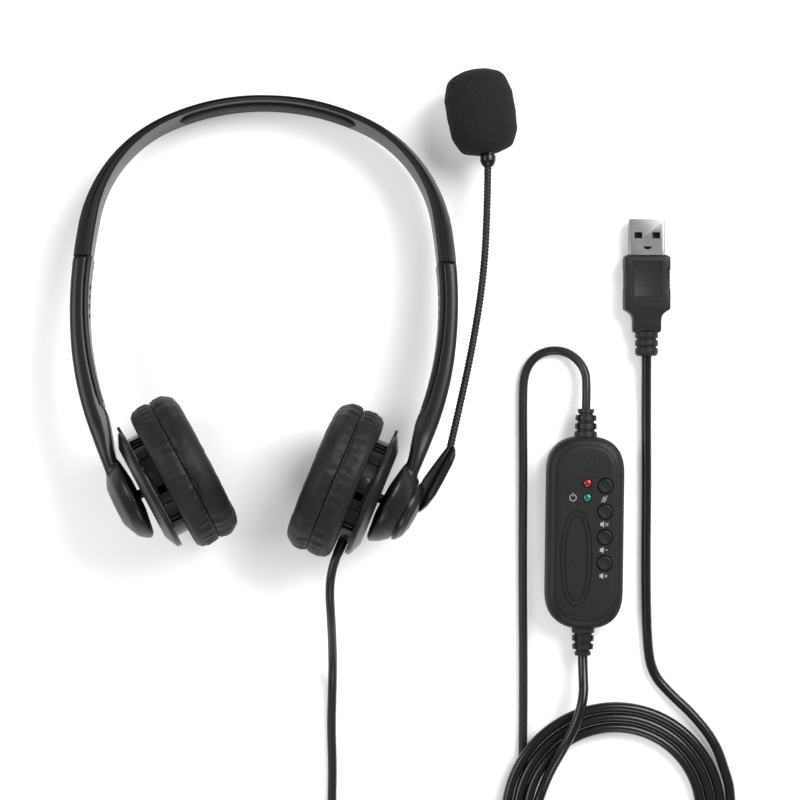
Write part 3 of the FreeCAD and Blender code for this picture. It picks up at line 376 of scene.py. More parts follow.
def fit(piece, look, place, body, slot, *nodes, smooth=35):
    """Puts a finished piece in its place, with its material, and lets it ride on its body."""
    piece.data.transform(place)
    piece.data.materials.clear()
    piece.data.materials.append(look.material)
    only(piece)
    bpy.ops.object.shade_smooth_by_angle(angle=math.radians(smooth))
    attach(piece, body)
    if nodes:
        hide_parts(*nodes)
    return piece


def moulded(name, level, roughness, grain=3500, depth=0.00001, spread=0.12):
    """Injection-moulded plastic: a fine spark-eroded grain, faint flow marks, handled patches."""
    look = Shader(name, Specular_IOR_Level=0.3)
    broad = look.speckle(60, 3)
    fine = look.speckle(grain, 2)
    look.paint("Base Color", look.blend(broad, grey(level * 0.8), grey(level * 1.3)))
    look.paint("Roughness", roughness + (broad - 0.5) * spread + (fine - 0.5) * spread)
    look.bump(fine, depth)
    return look


def arc_point(start, heading, arcs, turn):
    """The point that many degrees along tangent arcs of (radius, degrees), from a heading."""
    point = Vector(start)
    for radius, whole in arcs:
        part = min(turn, whole)
        here, there = math.radians(heading), math.radians(heading + part)
        point += radius * Vector((math.sin(there) - math.sin(here), math.cos(there) - math.cos(here)))
        heading, turn = heading + part, turn - part
    return point


def both_edges(edge):
    """A bar's outline, (across its thickness, across its width), from the corners of one edge."""
    return rounded(edge + [(across, -along, radius) for across, along, radius in reversed(edge)])


def placed(section, start, way, side=1):
    """An outline stood at a point of the band's plane, its thickness along a way in that plane."""
    return [(side * (start.x + way.x * u), start.y + way.y * u, v) for u, v in section]


def band_section(thick, half, dome):
    """The band's outline: a thin groove on each edge leaves a narrow outer rim."""
    groove = 0.5 * (thick - dome)
    edge = [(0, half - 0.9, 0.5), (0.12 * thick, half - 0.35, 0.4), (groove - 0.12, half - 0.05, 0.1),
            (groove + 0.02, half - 0.5, 0.08), (groove + 0.25, half - 0.5, 0.08),
            (groove + 0.4, half - 0.05, 0.15), (thick - dome - 0.15, half - 0.3, 0.3),
            (thick - dome, half - 1.0, 0.5), (thick - dome * 0.25, half * 0.45, 3)]
    return both_edges(edge)


band_end = arc_point((0, -BAND_WALL), 0, INNER_ARCS, BAND_TURN)
band_stop = arc_point((0, 0), 0, CROWN_ARCS, BAND_TURN)
satin_nylon = moulded("satin_nylon", 0.007, 0.33)
BAND_STEPS = 120
rings = []
for step in range(BAND_STEPS + 1):
    turn = BAND_TURN * (2 * step / BAND_STEPS - 1)
    side = -1 if turn < 0 else 1
    inside = arc_point((0, -BAND_WALL), 0, INNER_ARCS, abs(turn))
    outside = arc_point((0, 0), 0, CROWN_ARCS, abs(turn))
    out = (outside - inside).normalized()
    half = BAND_HALF + (END_HALF - BAND_HALF) * inside.y / band_end.y
    crown_share = max(0, 1 - abs(turn) / BAND_TURN)
    section = band_section((outside - inside).length, half, 0.2 + crown_share)
    rings.append(placed(section, inside, out, side))
band = lofted("headband_bar", rings)
fit(band, satin_nylon, LAY, "headband", "band_plastic", "headband_shell")

# ---- headband pad
# A strip of soft rubber foam bonded inside the crown, with rounded ends and a fine stipple.
PAD_TURN, PAD_HALF_WIDE, PAD_WALL = 23.0, 4.7, 1.2
rubber = moulded("stippled_rubber", 0.004, 0.62, grain=2200, depth=0.00003, spread=0.1)
STRIP_STEPS = 72
rings = []
for step in range(STRIP_STEPS + 1):
    share = 2 * step / STRIP_STEPS - 1
    turn = PAD_TURN * share
    side = -1 if turn < 0 else 1
    to_end = (1 - abs(share)) * math.radians(PAD_TURN) * INNER_ARCS[0][0]
    half = PAD_HALF_WIDE * math.sqrt(max(1 - max(1 - to_end / PAD_HALF_WIDE, 0) ** 2, 0.002))
    wall = PAD_WALL * min(1, 0.25 + to_end / 2.5)
    inside = arc_point((0, -BAND_WALL), 0, INNER_ARCS, abs(turn))
    inward = Vector((-math.sin(math.radians(abs(turn))), -math.cos(math.radians(abs(turn)))))
    section = rounded([(-0.1, -half, 0), (wall * 0.7, -half, 0.4), (wall, -half * 0.55, 2),
                       (wall, half * 0.55, 2), (wall * 0.7, half, 0.4), (-0.1, half, 0)])
    rings.append(placed(section, inside, inward, side))
pad_strip = lofted("headband_pad_strip", rings)
fit(pad_strip, rubber, LAY, "headband", "pad_rubber", "headband_pad")

# ---- arms
# Each arm is a hollow nylon sleeve that slides on the band's tongue. It grows at its foot into the
# drum of the ball joint, whose mouth a rubber boot closes. A thin cover with detent windows is
# screwed on its inner side.
ARM_GAP, ARM_TOP, ARM_HALF, COVER = 0.4, 6.4, 7.7, 1.4
ARM_OUTER, ARM_INNER = [(145.7, 23.2)], [(105.6, 29.2)]
ARM_INNER_HEADING = 82.4
BULB_SLOPES = {"left": [(0, -13.1, 0), (6.5, -12.9, 5), (12.2, -10.3, 4), (14.4, -7.2, 3)],
               "right": [(0, -12.3, 0), (10.6, -12.3, 0.5), (13.0, -9.6, 2.5), (14.4, -7.0, 2)]}
BULB_RIM = [(14.5, -6.0, 0.5), (13.2, -5.15, 0.5), (12.4, -4.95, 0.2), (0, -4.95, 0)]
arm_top = Vector((band_stop.x, band_end.y - ARM_GAP))


def turned(name, outline, steps=96, place=None):
    """An outline of (radius, height), or of rounded corners, spun about its own axis."""
    if len(outline[0]) == 3:
        outline = rounded(outline, closed=False)
    bpy.ops.mesh.primitive_plane_add(size=0.001)
    piece = bpy.context.object
    piece.name = piece.data.name = name
    bpy.ops.object.mode_set(mode="EDIT")
    bpy.ops.mesh.merge(type="CENTER")
    bpy.ops.transform.translate(value=(outline[0][0], 0, outline[0][1]))
    for here, there in zip(outline, outline[1:]):
        step = (there[0] - here[0], 0, there[1] - here[1])
        bpy.ops.mesh.extrude_vertices_move(TRANSFORM_OT_translate={"value": step})
    bpy.ops.mesh.select_all(action="SELECT")
    bpy.ops.mesh.spin(steps=steps, angle=math.tau, center=(0, 0, 0), axis=(0, 0, 1))
    bpy.ops.object.mode_set(mode="OBJECT")
    cleaned(piece)
    if place:
        piece.data.transform(place)
    return piece


def modified(piece, kind, **settings):
    """Applies one modifier to a piece."""
    only(piece)
    change = piece.modifiers.new(kind.lower(), kind)
    for key, value in settings.items():
        setattr(change, key, value)
    bpy.ops.object.modifier_apply(modifier=change.name)


def block(size, middle, place=None, radius=0.0):
    """A cube cut to size, its edges eased when a radius is given."""
    bpy.ops.mesh.primitive_cube_add(size=1)
    piece = bpy.context.object
    piece.data.transform(Matrix.Translation(middle) @ Matrix.Diagonal((*size, 1)))
    if radius:
        modified(piece, "BEVEL", width=radius, segments=3)
    if place:
        piece.data.transform(place)
    return piece


def combined(piece, operation, *tools):
    """Adds, cuts or keeps what the tools share with a piece, and removes the tools."""
    for tool in tools:
        modified(piece, "BOOLEAN", operation=operation, object=tool, solver="EXACT")
        bpy.data.objects.remove(tool)
    return piece


FOOT_INNER = [(-22.5, -3.3), (-16.8, -5.15), (-8.0, -6.6)]
FOOT_OUTER = [(-20.5, -10.0), (-14.0, -10.5), (-5.0, -11.4)]
FOOT_STEP, FOOT_SWELL = 1.1, 6.0


def arm_station(share):
    """Inner and outer points and half width at a share of the arm, past 1 into the drum."""
    along, deep = min(share, 1), max(share - 1, 0)
    inner = arc_point(arm_top - Vector((ARM_TOP, 0)), ARM_INNER_HEADING, ARM_INNER,
                      ARM_INNER[0][1] * along)
    outer = arc_point(arm_top, BAND_TURN, ARM_OUTER, ARM_OUTER[0][1] * along)
    outer += (inner - outer).normalized() * FOOT_STEP * max(0, (along - 0.5) / 0.5) ** 2
    if deep:
        stretch, part = divmod(min(deep, 0.9999) * 3, 1)
        near, far = int(stretch), int(stretch) + 1
        lines = [[end, *((BULBS["right"] @ Vector((x, 0, z))).to_2d() for x, z in foot)]
                 for end, foot in ((inner, FOOT_INNER), (outer, FOOT_OUTER))]
        inner, outer = (line[near].lerp(line[far], part) for line in lines)
    return inner, outer, ARM_HALF + FOOT_SWELL * deep ** 2 * (1 - deep)


def arm_rings(near, far, first, last, steps):
    """Sections of the arm from one share of its length to another, between two depths."""
    rings = []
    for step in range(steps + 1):
        share = first + (last - first) * step / steps
        inner, outer, half = arm_station(share)
        thick = (outer - inner).length
        out = (outer - inner).normalized()
        root = min(max((share - 0.78) / 0.18, 0), 1)
        start = near * (1 - root ** 2)
        if far:
            edge = [(0, half - 1.1, 0.4), (0.45, half - 0.5, 0.4), (far, half - 0.32, 0.05)]
        else:
            edge = [(start, half - 0.34 - 0.9 * root, 0.1), (0.35 * thick, half - 0.12, 1.5),
                    (0.6 * thick, half, 1.5), (0.85 * thick, half - 0.35, 1.5),
                    (thick - 0.1, half - 1.3, 1.0), (thick, half * 0.5, 3)]
        rings.append(placed(both_edges(edge), inner, out))
    return rings


def mirrored(piece):
    """Turns a right-hand piece into a left-hand one."""
    piece.data.transform(Matrix.Diagonal((-1, 1, 1, 1)))
    piece.data.flip_normals()
    return piece


CHANNEL_X, CHANNEL_WIDE, CHANNEL_TALL, CHANNEL_LONG = 61.0, 2.2, 10.2, 33.3
WINDOW_FIRST, WINDOW_STEP = 9.4, 3.2
VOXEL, SMOOTHINGS = 0.36, 16
for name, side in SIDES.items():
    shell = lofted(name + "_arm_sleeve", arm_rings(COVER + 0.1, None, 0, 2, 100))
    combined(shell, "UNION", turned("drum", BULB_SLOPES[name] + BULB_RIM, place=BULBS["right"]))
    modified(shell, "REMESH", mode="VOXEL", voxel_size=VOXEL)
    modified(shell, "SMOOTH", factor=0.5, iterations=SMOOTHINGS)
    channel = block((CHANNEL_WIDE, CHANNEL_LONG + 8, CHANNEL_TALL),
                    (CHANNEL_X, band_end.y - CHANNEL_LONG / 2 + 4, 0))
    room = turned("room", [(0, -4.5), (11.9, -4.5), (11.9, -7.3), (9.3, -11.0), (0, -11.0)],
                  place=BULBS["right"], steps=64)
    combined(shell, "DIFFERENCE", channel, room)
    cover = lofted(name + "_arm_inner_cover", arm_rings(0, COVER, 0, 0.92, 60))
    windows = [block((7, 1.6, 5), (arm_top.x - ARM_TOP - 1.5,
                                   arm_top.y - WINDOW_FIRST - WINDOW_STEP * step, 0), radius=0.3)
               for step in range(4)]
    combined(cover, "DIFFERENCE", *windows)
    if side < 0:
        mirrored(shell)
        mirrored(cover)
    fit(shell, satin_nylon, LAY, name + "_arm", "band_plastic", name + "_arm_shell", smooth=50)
    fit(cover, satin_nylon, LAY, name + "_arm", "band_plastic", name + "_arm_cover")
    boot = turned(name + "_joint_boot", [(5.2, -5.15), (5.2, -4.05), (11.3, -4.85), (12.0, -5.15),
                                         (5.2, -5.15)])
    fit(boot, rubber, LAY @ BULBS[name], name + "_arm", "joint_plastic")

# ---- cups
# A nylon disc with a bevelled back carries each cup. A round wall with slots, ribs and a snap tab
# stands on it and ends in the flange that the ear pad's lip is stretched over.
glossy_nylon = moulded("glossy_nylon", 0.006, 0.24, depth=0.000004)
for name, side in SIDES.items():
    in_cup = LAY @ CUPS[name]
    back = turned(name + "_cup_disc", [
        (1.7, -3.0, 0), (16.5, -3.0, 0.5), (20.9, -1.0, 0.4), (21.2, -0.6, 0.2), (21.2, 0.75, 0.3),
        (19.6, 0.8, 0.2), (17.3, 0.8, 0.2), (15.8, -1.7, 0), (1.7, -1.7, 0), (1.7, -3.0, 0)])
    screw_seats = [turned("seat", [(0, -3.2), (1.75, -3.2), (1.75, -2.0), (0.95, -2.0),
                                   (0.95, -1.6), (0, -1.6)], 32,
                          spun(120 * third) @ moved(14.4, 0, 0)) for third in range(3)]
    combined(back, "DIFFERENCE", *screw_seats)
    lug = block((2.6, 2.4, 1.0), (-21.3, side * 3.2, 0.1), radius=0.25)
    combined(back, "UNION", lug)
    fit(back, satin_nylon, in_cup, name + "_cup", "cup_plastic", name + "_cup_back")

    front = turned(name + "_cup_wall", [(16.6, 0.85), (18.0, 0.85), (18.0, 5.6), (20.8, 5.6),
                                        (21.0, 5.8), (21.0, 6.8), (20.8, 7.0), (10.7, 7.0),
                                        (10.7, 5.65), (16.6, 5.65), (16.6, 0.85)], 120)
    slots = [block((5, 2.6, 2.8), (17.3, 0, 3.4), spun(turn), 0.2)
             for turn in (78 * side, 180, -78 * side)]
    combined(front, "DIFFERENCE", *slots)
    ribs = [block((1.0, 0.45, 4.7), (18.1, 0, 3.25), spun(side * turn), 0.1)
            for turn in (38, 44, 62, 117, 136, 142, 148)]
    tab = block((1.2, 4.0, 3.4), (18.3, 0, 3.4), spun(side * 93), 0.25)
    combined(front, "UNION", tab, *ribs)
    fit(front, glossy_nylon, in_cup, name + "_cup", "inner_plastic", name + "_cup_front")

# ---- ear pads
# Rings of foam in thin black leatherette. Two pieces of it are sewn in a seam round the middle,
# whose stitches gather the front one, and an elastic lip holds the pad on the cup's flange.
PAD_PROFILE = [(10.3, 8.2, 0.3), (10.3, 14.6, 3), (12.2, 18.9, 3), (15.2, 20.9, 2.5),
               (19.0, 21.5, 3), (22.6, 20.2, 3), (24.7, 17.2, 3), (25.15, 14.6, 1.5),
               (25.0, 13.0, 0.2), (24.4, 12.7, 0.1), (25.0, 12.4, 0.2), (25.3, 11.2, 1),
               (25.35, 8.6, 1.5), (25.0, 6.4, 1), (23.6, 5.1, 1), (21.8, 4.75, 0.4),
               (19.0, 4.8, 0.2), (19.0, 5.25, 0.1), (21.4, 5.3, 0.1), (21.4, 7.9, 0.2)]
leather = Shader("black_leatherette", Specular_IOR_Level=0.3)
pebbles = leather.add("ShaderNodeTexVoronoi", {"feature": "F1"}, Vector=leather.place(),
                      Scale=1500.0)
creases = leather.speckle(420, 4)
worn = leather.speckle(45, 3)
leather.paint("Base Color", leather.blend(worn, grey(0.0035), grey(0.0065, 0.03)))
leather.paint("Roughness", worn * 0.16 + 0.44 + creases * 0.08)
leather.bump(pebbles * 0.7 + creases * 0.5, 0.00006)
thread = Shader("pad_thread", Base_Color=grey(0.012))
twist = thread.speckle(5000, 2)
thread.paint("Roughness", twist * 0.3 + 0.35)
thread.bump(twist, 0.00003)
PAD_STEPS, STITCH_STEPS = 216, 336


def divided(outline, spacing):
    """An outline's points, with more between them to keep about one spacing."""
    points = []
    for here, there in zip(outline, outline[1:]):
        parts = max(1, round((there - here).length / spacing))
        points += [here.lerp(there, part / parts) for part in range(parts)]
    return points + outline[-1:]


for name, side in SIDES.items():
    section = rounded(PAD_PROFILE, steps=4)
    rings = []
    for step in range(PAD_STEPS + 1):
        around = math.tau * (step % PAD_STEPS) / PAD_STEPS
        way = Vector((math.cos(around), math.sin(around), 0))
        ring = []
        for radius, height in divided(section + section[:1], 0.9)[:-1]:
            spot = way * radius + Vector((0, 0, height))
            if height > 12.8 and radius > 15:
                away = math.hypot(radius - 24.5, height - 12.9)
                strength = 0.35 + 0.9 * max(0, noise.noise(way * 1.6 + Vector((0, 0, 7 * side))))
                fold = noise.noise(Vector((math.cos(around) * 7.5, math.sin(around) * 7.5,
                                           away * 0.11 + 3 * side)))
                fade = min(1, away / 1.2) * math.exp(-away / 6.5)
                outwards = Vector((radius - 17, height - 13)).normalized()
                spot += (way * outwards.x + Vector((0, 0, outwards.y))) * fold * strength * fade * 1.5
            elif 5.5 < height < 12.6 and radius > 22:
                away = 12.7 - height
                fold = noise.noise(Vector((math.cos(around) * 9, math.sin(around) * 9, 5 * side)))
                spot += way * fold * 0.14 * math.exp(-away / 2.5) * min(1, away / 0.8)
            ring.append(spot)
        rings.append(ring)
    pad = lofted(name + "_leather_pad", rings)
    held = pad.vertex_groups.new(name="held")
    for vertex in pad.data.vertices:
        out, height = vertex.co.to_2d().length, vertex.co.z
        stitched = math.hypot(out - 24.6, height - 12.7) < 0.6
        if stitched or out < 11.0 or height < 8.0:
            held.add([vertex.index], 1.0, "REPLACE")
    start = [vertex.co.copy() for vertex in pad.data.vertices]
    pad.data.transform(Matrix.Scale(0.01, 4))
    only(pad)
    cloth = pad.modifiers.new("cloth", "CLOTH")
    for key, value in {"quality": 4, "mass": 0.25, "use_pressure": True,
                       "uniform_pressure_force": 2.2, "shrink_min": -0.035,
                       "tension_stiffness": 18, "compression_stiffness": 18,
                       "bending_stiffness": 0.35, "vertex_group_mass": "held"}.items():
        setattr(cloth.settings, key, value)
    cloth.settings.effector_weights.gravity = 0
    for frame_number in range(1, 13):
        bpy.context.scene.frame_set(frame_number)
    bpy.ops.object.modifier_apply(modifier=cloth.name)
    bpy.context.scene.frame_set(1)
    pad.data.transform(Matrix.Scale(100, 4))
    for vertex, before in zip(pad.data.vertices, start):
        shift = vertex.co - before
        most = 0.8 if before.z > 12.7 else 0.3
        vertex.co = before + shift * min(1, most / max(shift.length, 1e-6))
    in_cup = LAY @ CUPS[name]
    fit(pad, leather, in_cup, name + "_cup", "leatherette", name + "_ear_pad", smooth=60)

    bpy.ops.mesh.primitive_torus_add(major_segments=STITCH_STEPS, minor_segments=6, major_radius=24.95,
                                     minor_radius=0.17, location=(0, 0, 0))
    stitches = bpy.context.object
    stitches.name = stitches.data.name = name + "_pad_stitches"
    shape = bmesh.new()
    shape.from_mesh(stitches.data)
    gaps = [face for face in shape.faces if int((math.atan2(*face.calc_center_median().yx) + math.pi)
                                                / math.tau * STITCH_STEPS) % 4 == 0]
    bmesh.ops.delete(shape, geom=gaps, context="FACES")
    shape.to_mesh(stitches.data)
    shape.free()
    stitches.data.transform(moved(0, 0, 12.35))
    cleaned(stitches)
    fit(stitches, thread, in_cup, name + "_cup", "leatherette")

# ---- boom
# A nylon cap turns on the right drum. Its thick dark root holds the neck's end, and a glossy cover
# with a ridge along it is snapped on the outside.
LIFT = spun(-1.0)
in_boom = LAY @ BULBS["right"] @ LIFT
hub = turned("boom_cap", rounded([(2.35, -12.6, 0), (10.6, -12.6, 0.25), (10.3, -13.8, 0.5),
                                  (8.2, -15.4, 2), (4.6, -16.4, 2), (0, -16.6, 0), (0, -15.5, 0),
                                  (4.4, -15.5, 0), (4.4, -14.1, 0), (2.35, -14.1, 0),
                                  (2.35, -12.6, 0)], closed=False, steps=5), 120)


def bar(name, stations):
    """A bar along -X with a ridge on each edge: a station is x, inner and outer height, half width."""
    ridge, dome = 0.58, 0.15
    rings = []
    for x, inner, outer, half in stations:
        thick = inner - outer
        fall = min(0.5, thick * 0.25)
        edge = [(0, half - fall - 0.6, 0.5), (0.12 * thick, half - fall, 0.5),
                ((ridge - 0.2) * thick, half - fall * 0.45, 0.6), (ridge * thick, half, 0.45),
                ((ridge + 0.22) * (thick - dome), half - fall * 0.45, 0.6),
                (thick - dome, half - fall - 0.7, 0.8), (thick - dome * 0.25, half * 0.45, 3)]
        rings.append([(x, across, inner - along) for along, across in both_edges(edge)])
    return lofted(name, rings)


root = bar("boom_root", [(-3.2, -15.2, -16.5, 2.6), (-5.4, -14.3, -16.55, 3.4),
                         (-8.2, -12.95, -16.55, 4.0), (-12.0, -12.9, -16.5, 4.3),
                         (-19.0, -13.9, -16.55, 4.4), (-24.2, -14.8, -16.55, 4.1),
                         (-25.7, -15.2, -16.5, 3.2)])
combined(hub, "UNION", root)
fit(hub, satin_nylon, in_boom, "boom", "boom_plastic", "boom_hub", smooth=40)
washer = turned("boom_washer", [(2.4, -12.2), (9.9, -12.2), (9.9, -12.57), (2.4, -12.57),
                                (2.4, -12.2)])
fit(washer, glossy_nylon, LAY @ BULBS["right"], "right_arm", "joint_plastic")
boom_cover = bar("boom_outer_cover", [
    (-1.6, -16.4, -17.0, 2.6), (-2.6, -16.4, -17.6, 3.3), (-4.6, -16.4, -18.4, 3.9),
    (-9.0, -16.4, -19.15, 4.35), (-14.0, -16.4, -19.3, 4.5), (-20.6, -16.4, -19.3, 4.5),
    (-23.6, -16.4, -18.9, 4.2), (-25.4, -16.4, -18.1, 3.5), (-26.2, -16.4, -17.3, 2.4)])
fit(boom_cover, glossy_nylon, in_boom, "boom", "boom_plastic", "boom_cover", smooth=40)

# ---- gooseneck
# A steel gooseneck, wound from round and three-sided wire and blacked, that holds any bend. It is
# one neck; three joints stand for its bending, but its three windings stay where they are laid and
# are not attached to the joints' bodies.
NECK_TURNS, NECK_LONG, NECK_RADIUS, NECK_HEADING = (1.0, 3.5, 6.0, 2.0), 24.0, 1.3, 12.5
NECK_ROOT = BULBS["right"] @ Vector((-25.7, 0, -15.9))
BOOM_IN_BAND = BULBS["right"] @ LIFT @ BULBS["right"].inverted()


def neck_at(distance):
    """The neck's middle and its direction at a distance along it, in the band's plane."""
    spot, lead = NECK_ROOT.copy(), NECK_HEADING
    for bend in NECK_TURNS:
        part = min(max(distance, 0), NECK_LONG)
        turn = bend * part / NECK_LONG
        radius = NECK_LONG / math.radians(bend)
        first, last = math.radians(lead), math.radians(lead - turn)
        spot = spot + radius * Vector((math.cos(last) - math.cos(first),
                                       math.sin(first) - math.sin(last), 0))
        lead -= turn
        distance -= NECK_LONG
        if distance <= 0:
            break
    return spot, Vector((math.sin(math.radians(lead)), math.cos(math.radians(lead)), 0))


steel = Shader("blacked_steel", Base_Color=grey(0.012), Metallic=0.35)
scuffs = steel.speckle(900, 3)
steel.paint("Roughness", scuffs * 0.25 + 0.28)
steel.bump(scuffs, 0.00002)
WIRE_PITCH, WIRE_STEPS, NECK_SIDES = 1.2, 6, 14
WINDINGS = (((-1.5, 36.0), ("boom", "neck_2"), ("gooseneck_1", "gooseneck_2")),
            ((36.0, 60.0), ("neck_2", "neck_3"), ("gooseneck_3",)),
            ((60.0, 96.0), ("neck_3", "microphone"), ("gooseneck_4",)))
for index, ((first, last), pair, nodes) in enumerate(WINDINGS, 1):
    rings = []
    count = round((last - first) / WIRE_PITCH * WIRE_STEPS)
    for step in range(count + 1):
        distance = first + (last - first) * step / count
        spot, ahead = neck_at(max(distance, 0))
        spot = spot + ahead * min(distance, 0)
        beside = Vector((ahead.y, -ahead.x, 0))
        ring = []
        for part in range(NECK_SIDES):
            around = math.tau * part / NECK_SIDES
            wave = math.cos(math.tau * distance / WIRE_PITCH - around)
            radius = NECK_RADIUS - 0.13 + 0.16 * max(wave, -0.35)
            ring.append(spot + (beside * math.cos(around) + Vector((0, 0, 1)) * math.sin(around))
                        * radius)
        rings.append(ring)
    neck = lofted(f"neck_winding_{index}", rings)
    neck.data.transform(LAY @ BOOM_IN_BAND)
    neck.data.materials.append(steel.material)
    only(neck)
    bpy.ops.object.shade_smooth_by_angle(angle=math.radians(50))
    ends = [LAY @ BOOM_IN_BAND @ neck_at(NECK_LONG * index + away)[0] for away in (-11, 11)]
    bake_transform(neck)
    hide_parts(*nodes)

# ---- microphone
# A turned collar is crimped on the neck's end, and a cover of open-cell foam, moulded to a blunt
# barrel, is pulled over the capsule as far as the collar.
tip, ahead = neck_at(len(NECK_TURNS) * NECK_LONG)
beside = Vector((ahead.y, -ahead.x, 0))
mic_turn = Matrix((beside, ahead.cross(beside), ahead)).transposed().to_4x4()
at_mic = LAY @ BOOM_IN_BAND @ Matrix.Translation(tip) @ mic_turn
collar = turned("mic_neck_collar", [(0, -0.4, 0), (1.7, -0.4, 0.15), (2.3, 0.6, 0.4),
                                    (2.6, 1.4, 0.3), (2.6, 3.2, 0.3), (2.3, 3.5, 0.1),
                                    (2.3, 4.2, 0), (0, 4.2, 0)], 64)
fit(collar, glossy_nylon, at_mic, "microphone", "collar_plastic", "mic_collar")

foam_look = Shader("open_cell_foam", Specular_IOR_Level=0.25)
cells = foam_look.add("ShaderNodeTexVoronoi", {"feature": "DISTANCE_TO_EDGE"},
                      Vector=foam_look.place(), Scale=1900.0)
clumps = foam_look.speckle(700, 3)
# The pores, the middles of the cells, are painted darker than the struts: painted shade in the pores, with
# random clumps of tone mixed in.
pore_shade_mask = foam_look.add("ShaderNodeMath", {"operation": "GREATER_THAN"}, cells, 0.22)
foam_look.paint("Base Color", foam_look.blend(pore_shade_mask * 0.75 + clumps * 0.25, grey(0.014),
                                              grey(0.003)))
foam_look.paint("Roughness", clumps * 0.1 + 0.88)
foam_look.bump(cells * -1.2 + clumps, 0.00012)
foam_outline = rounded([(0, 4.0, 0), (4.0, 4.05, 1.0), (8.8, 5.6, 3), (11.2, 11.0, 4),
                        (11.6, 17.5, 5), (11.5, 24.0, 4), (9.6, 30.2, 4.5), (5.0, 32.2, 3),
                        (0, 32.4, 0)], steps=8, closed=False)
foam = turned("mic_foam_cover", divided(foam_outline, 0.45), 150)
for vertex in foam.data.vertices:
    cell = noise.noise(vertex.co * 1.7) * 0.16 + noise.noise(vertex.co * 0.3) * 0.14
    vertex.co += vertex.co.to_2d().to_3d().normalized() * cell
leaning = moved(0, 0, 4) @ spun(-10, "Y") @ moved(0, 0, -4)
fit(foam, foam_look, at_mic @ leaning, "microphone", "foam", "mic_foam", smooth=60)

# ---- controller
# Two grained nylon shells that meet in a shadow groove, the upper with a raised panel, an oval
# moulded in two fine grooves, four rubber buttons, two lamp lenses and printed signs.
PANEL_HALF, PANEL_LONG, PANEL_ROUND, TOP = 13.0, 32.5, 12.9, 13.0


def oblong_round(half, long, turn, steps):
    """An oblong's outline from its half width and length, its corners rounded."""
    return rounded([(half, long, turn), (-half, long, turn), (-half, -long, turn),
                    (half, -long, turn)], steps)


def pill(inset, height):
    """The controller's outline, drawn in by some millimetres, at a height."""
    outline = oblong_round(PANEL_HALF - inset, PANEL_LONG - inset, max(PANEL_ROUND - inset, 1), 14)
    return [(spot.x, spot.y, height) for spot in outline]


def followed(name, path, section):
    """A closed moulding: a section (across, up) carried round a closed level path."""
    rings = []
    for i, spot in enumerate(path + path[:1]):
        i %= len(path)
        ahead = (Vector(path[(i + 1) % len(path)]) - Vector(path[i - 1])).to_2d().normalized()
        beside = Vector((ahead.y, -ahead.x, 0))
        rings.append([Vector(spot) + beside * across + Vector((0, 0, up))
                      for across, up in section])
    return lofted(name, rings)


grained = moulded("grained_nylon", 0.006, 0.5, grain=1500, depth=0.00009, spread=0.14)
upper = lofted("controller_upper_shell", [pill(inset, height) for inset, height in (
    (1.6, 6.1), (0.5, 6.1), (0.45, 6.45), (0.05, 6.5), (0.0, 6.9), (0.0, 9.6), (0.25, 10.6),
    (0.9, 11.5), (1.9, 12.1), (2.6, 12.3), (2.95, 12.35), (3.15, 12.85), (3.5, 13.0),
    (4.6, 13.03))])
KEY_SPOTS = [(6.35, 15.9 - 8.66 * index, 0) for index in range(4)]
LENS_SPOTS = [(0.25, 16.7 - 4.9 * index, 0) for index in range(2)]
tools = [turned("hole", [(0, 10.5), (wide, 10.5), (wide, 12.9), (wide + 0.2, 14.0), (0, 14.0)],
                steps, moved(*spot))
         for wide, steps, spots in ((2.75, 48, KEY_SPOTS), (1.6, 40, LENS_SPOTS)) for spot in spots]
OVAL_STEPS = 96
for half, long in ((5.2, 15.95), (3.75, 14.1)):
    oval = []
    for step in range(OVAL_STEPS):
        around = math.tau * step / OVAL_STEPS
        across, along = math.cos(around), math.sin(around)
        oval.append((-3.3 + half * math.copysign(abs(across) ** 0.85, across),
                     -8.6 + long * math.copysign(abs(along) ** 0.95, along), TOP))
    tools.append(followed("groove", oval, [(-0.32, 0.3), (-0.2, -0.3), (0.2, -0.3), (0.32, 0.3)]))
combined(upper, "DIFFERENCE", *tools)
fit(upper, grained, ON_TABLE, "right_cup", "controller_plastic", "controller_top")
lower = lofted("controller_lower_shell", [pill(inset, height) for inset, height in (
    (3.2, 0.0), (1.6, 0.2), (0.5, 0.9), (0.05, 2.0), (0.0, 2.6), (0.0, 5.2), (0.05, 5.55),
    (0.45, 5.6), (0.5, 6.1), (1.6, 6.1))])
seats = [turned("seat", [(0, -0.2), (1.75, -0.2), (1.75, 1.05), (0, 1.05)], 32,
                moved(0, end * 24.5, 0)) for end in (-1, 1)]
combined(lower, "DIFFERENCE", *seats)
fit(lower, grained, ON_TABLE, "right_cup", "controller_plastic", "controller_base")

button_rubber = moulded("button_rubber", 0.007, 0.42, grain=2500, depth=0.00002)
for name, spot in zip(BUTTONS, KEY_SPOTS):
    key = turned(name + "_cap", [(0, 9.9, 0), (3.2, 9.9, 0.1), (3.2, 10.9, 0.1), (2.5, 10.9, 0),
                                 (2.5, 13.25, 0.35), (1.95, 13.62, 0.3), (1.2, 13.5, 0.8),
                                 (0, 13.45, 0)], 64)
    fit(key, button_rubber, ON_TABLE @ moved(*spot), name, "button_rubber", name)

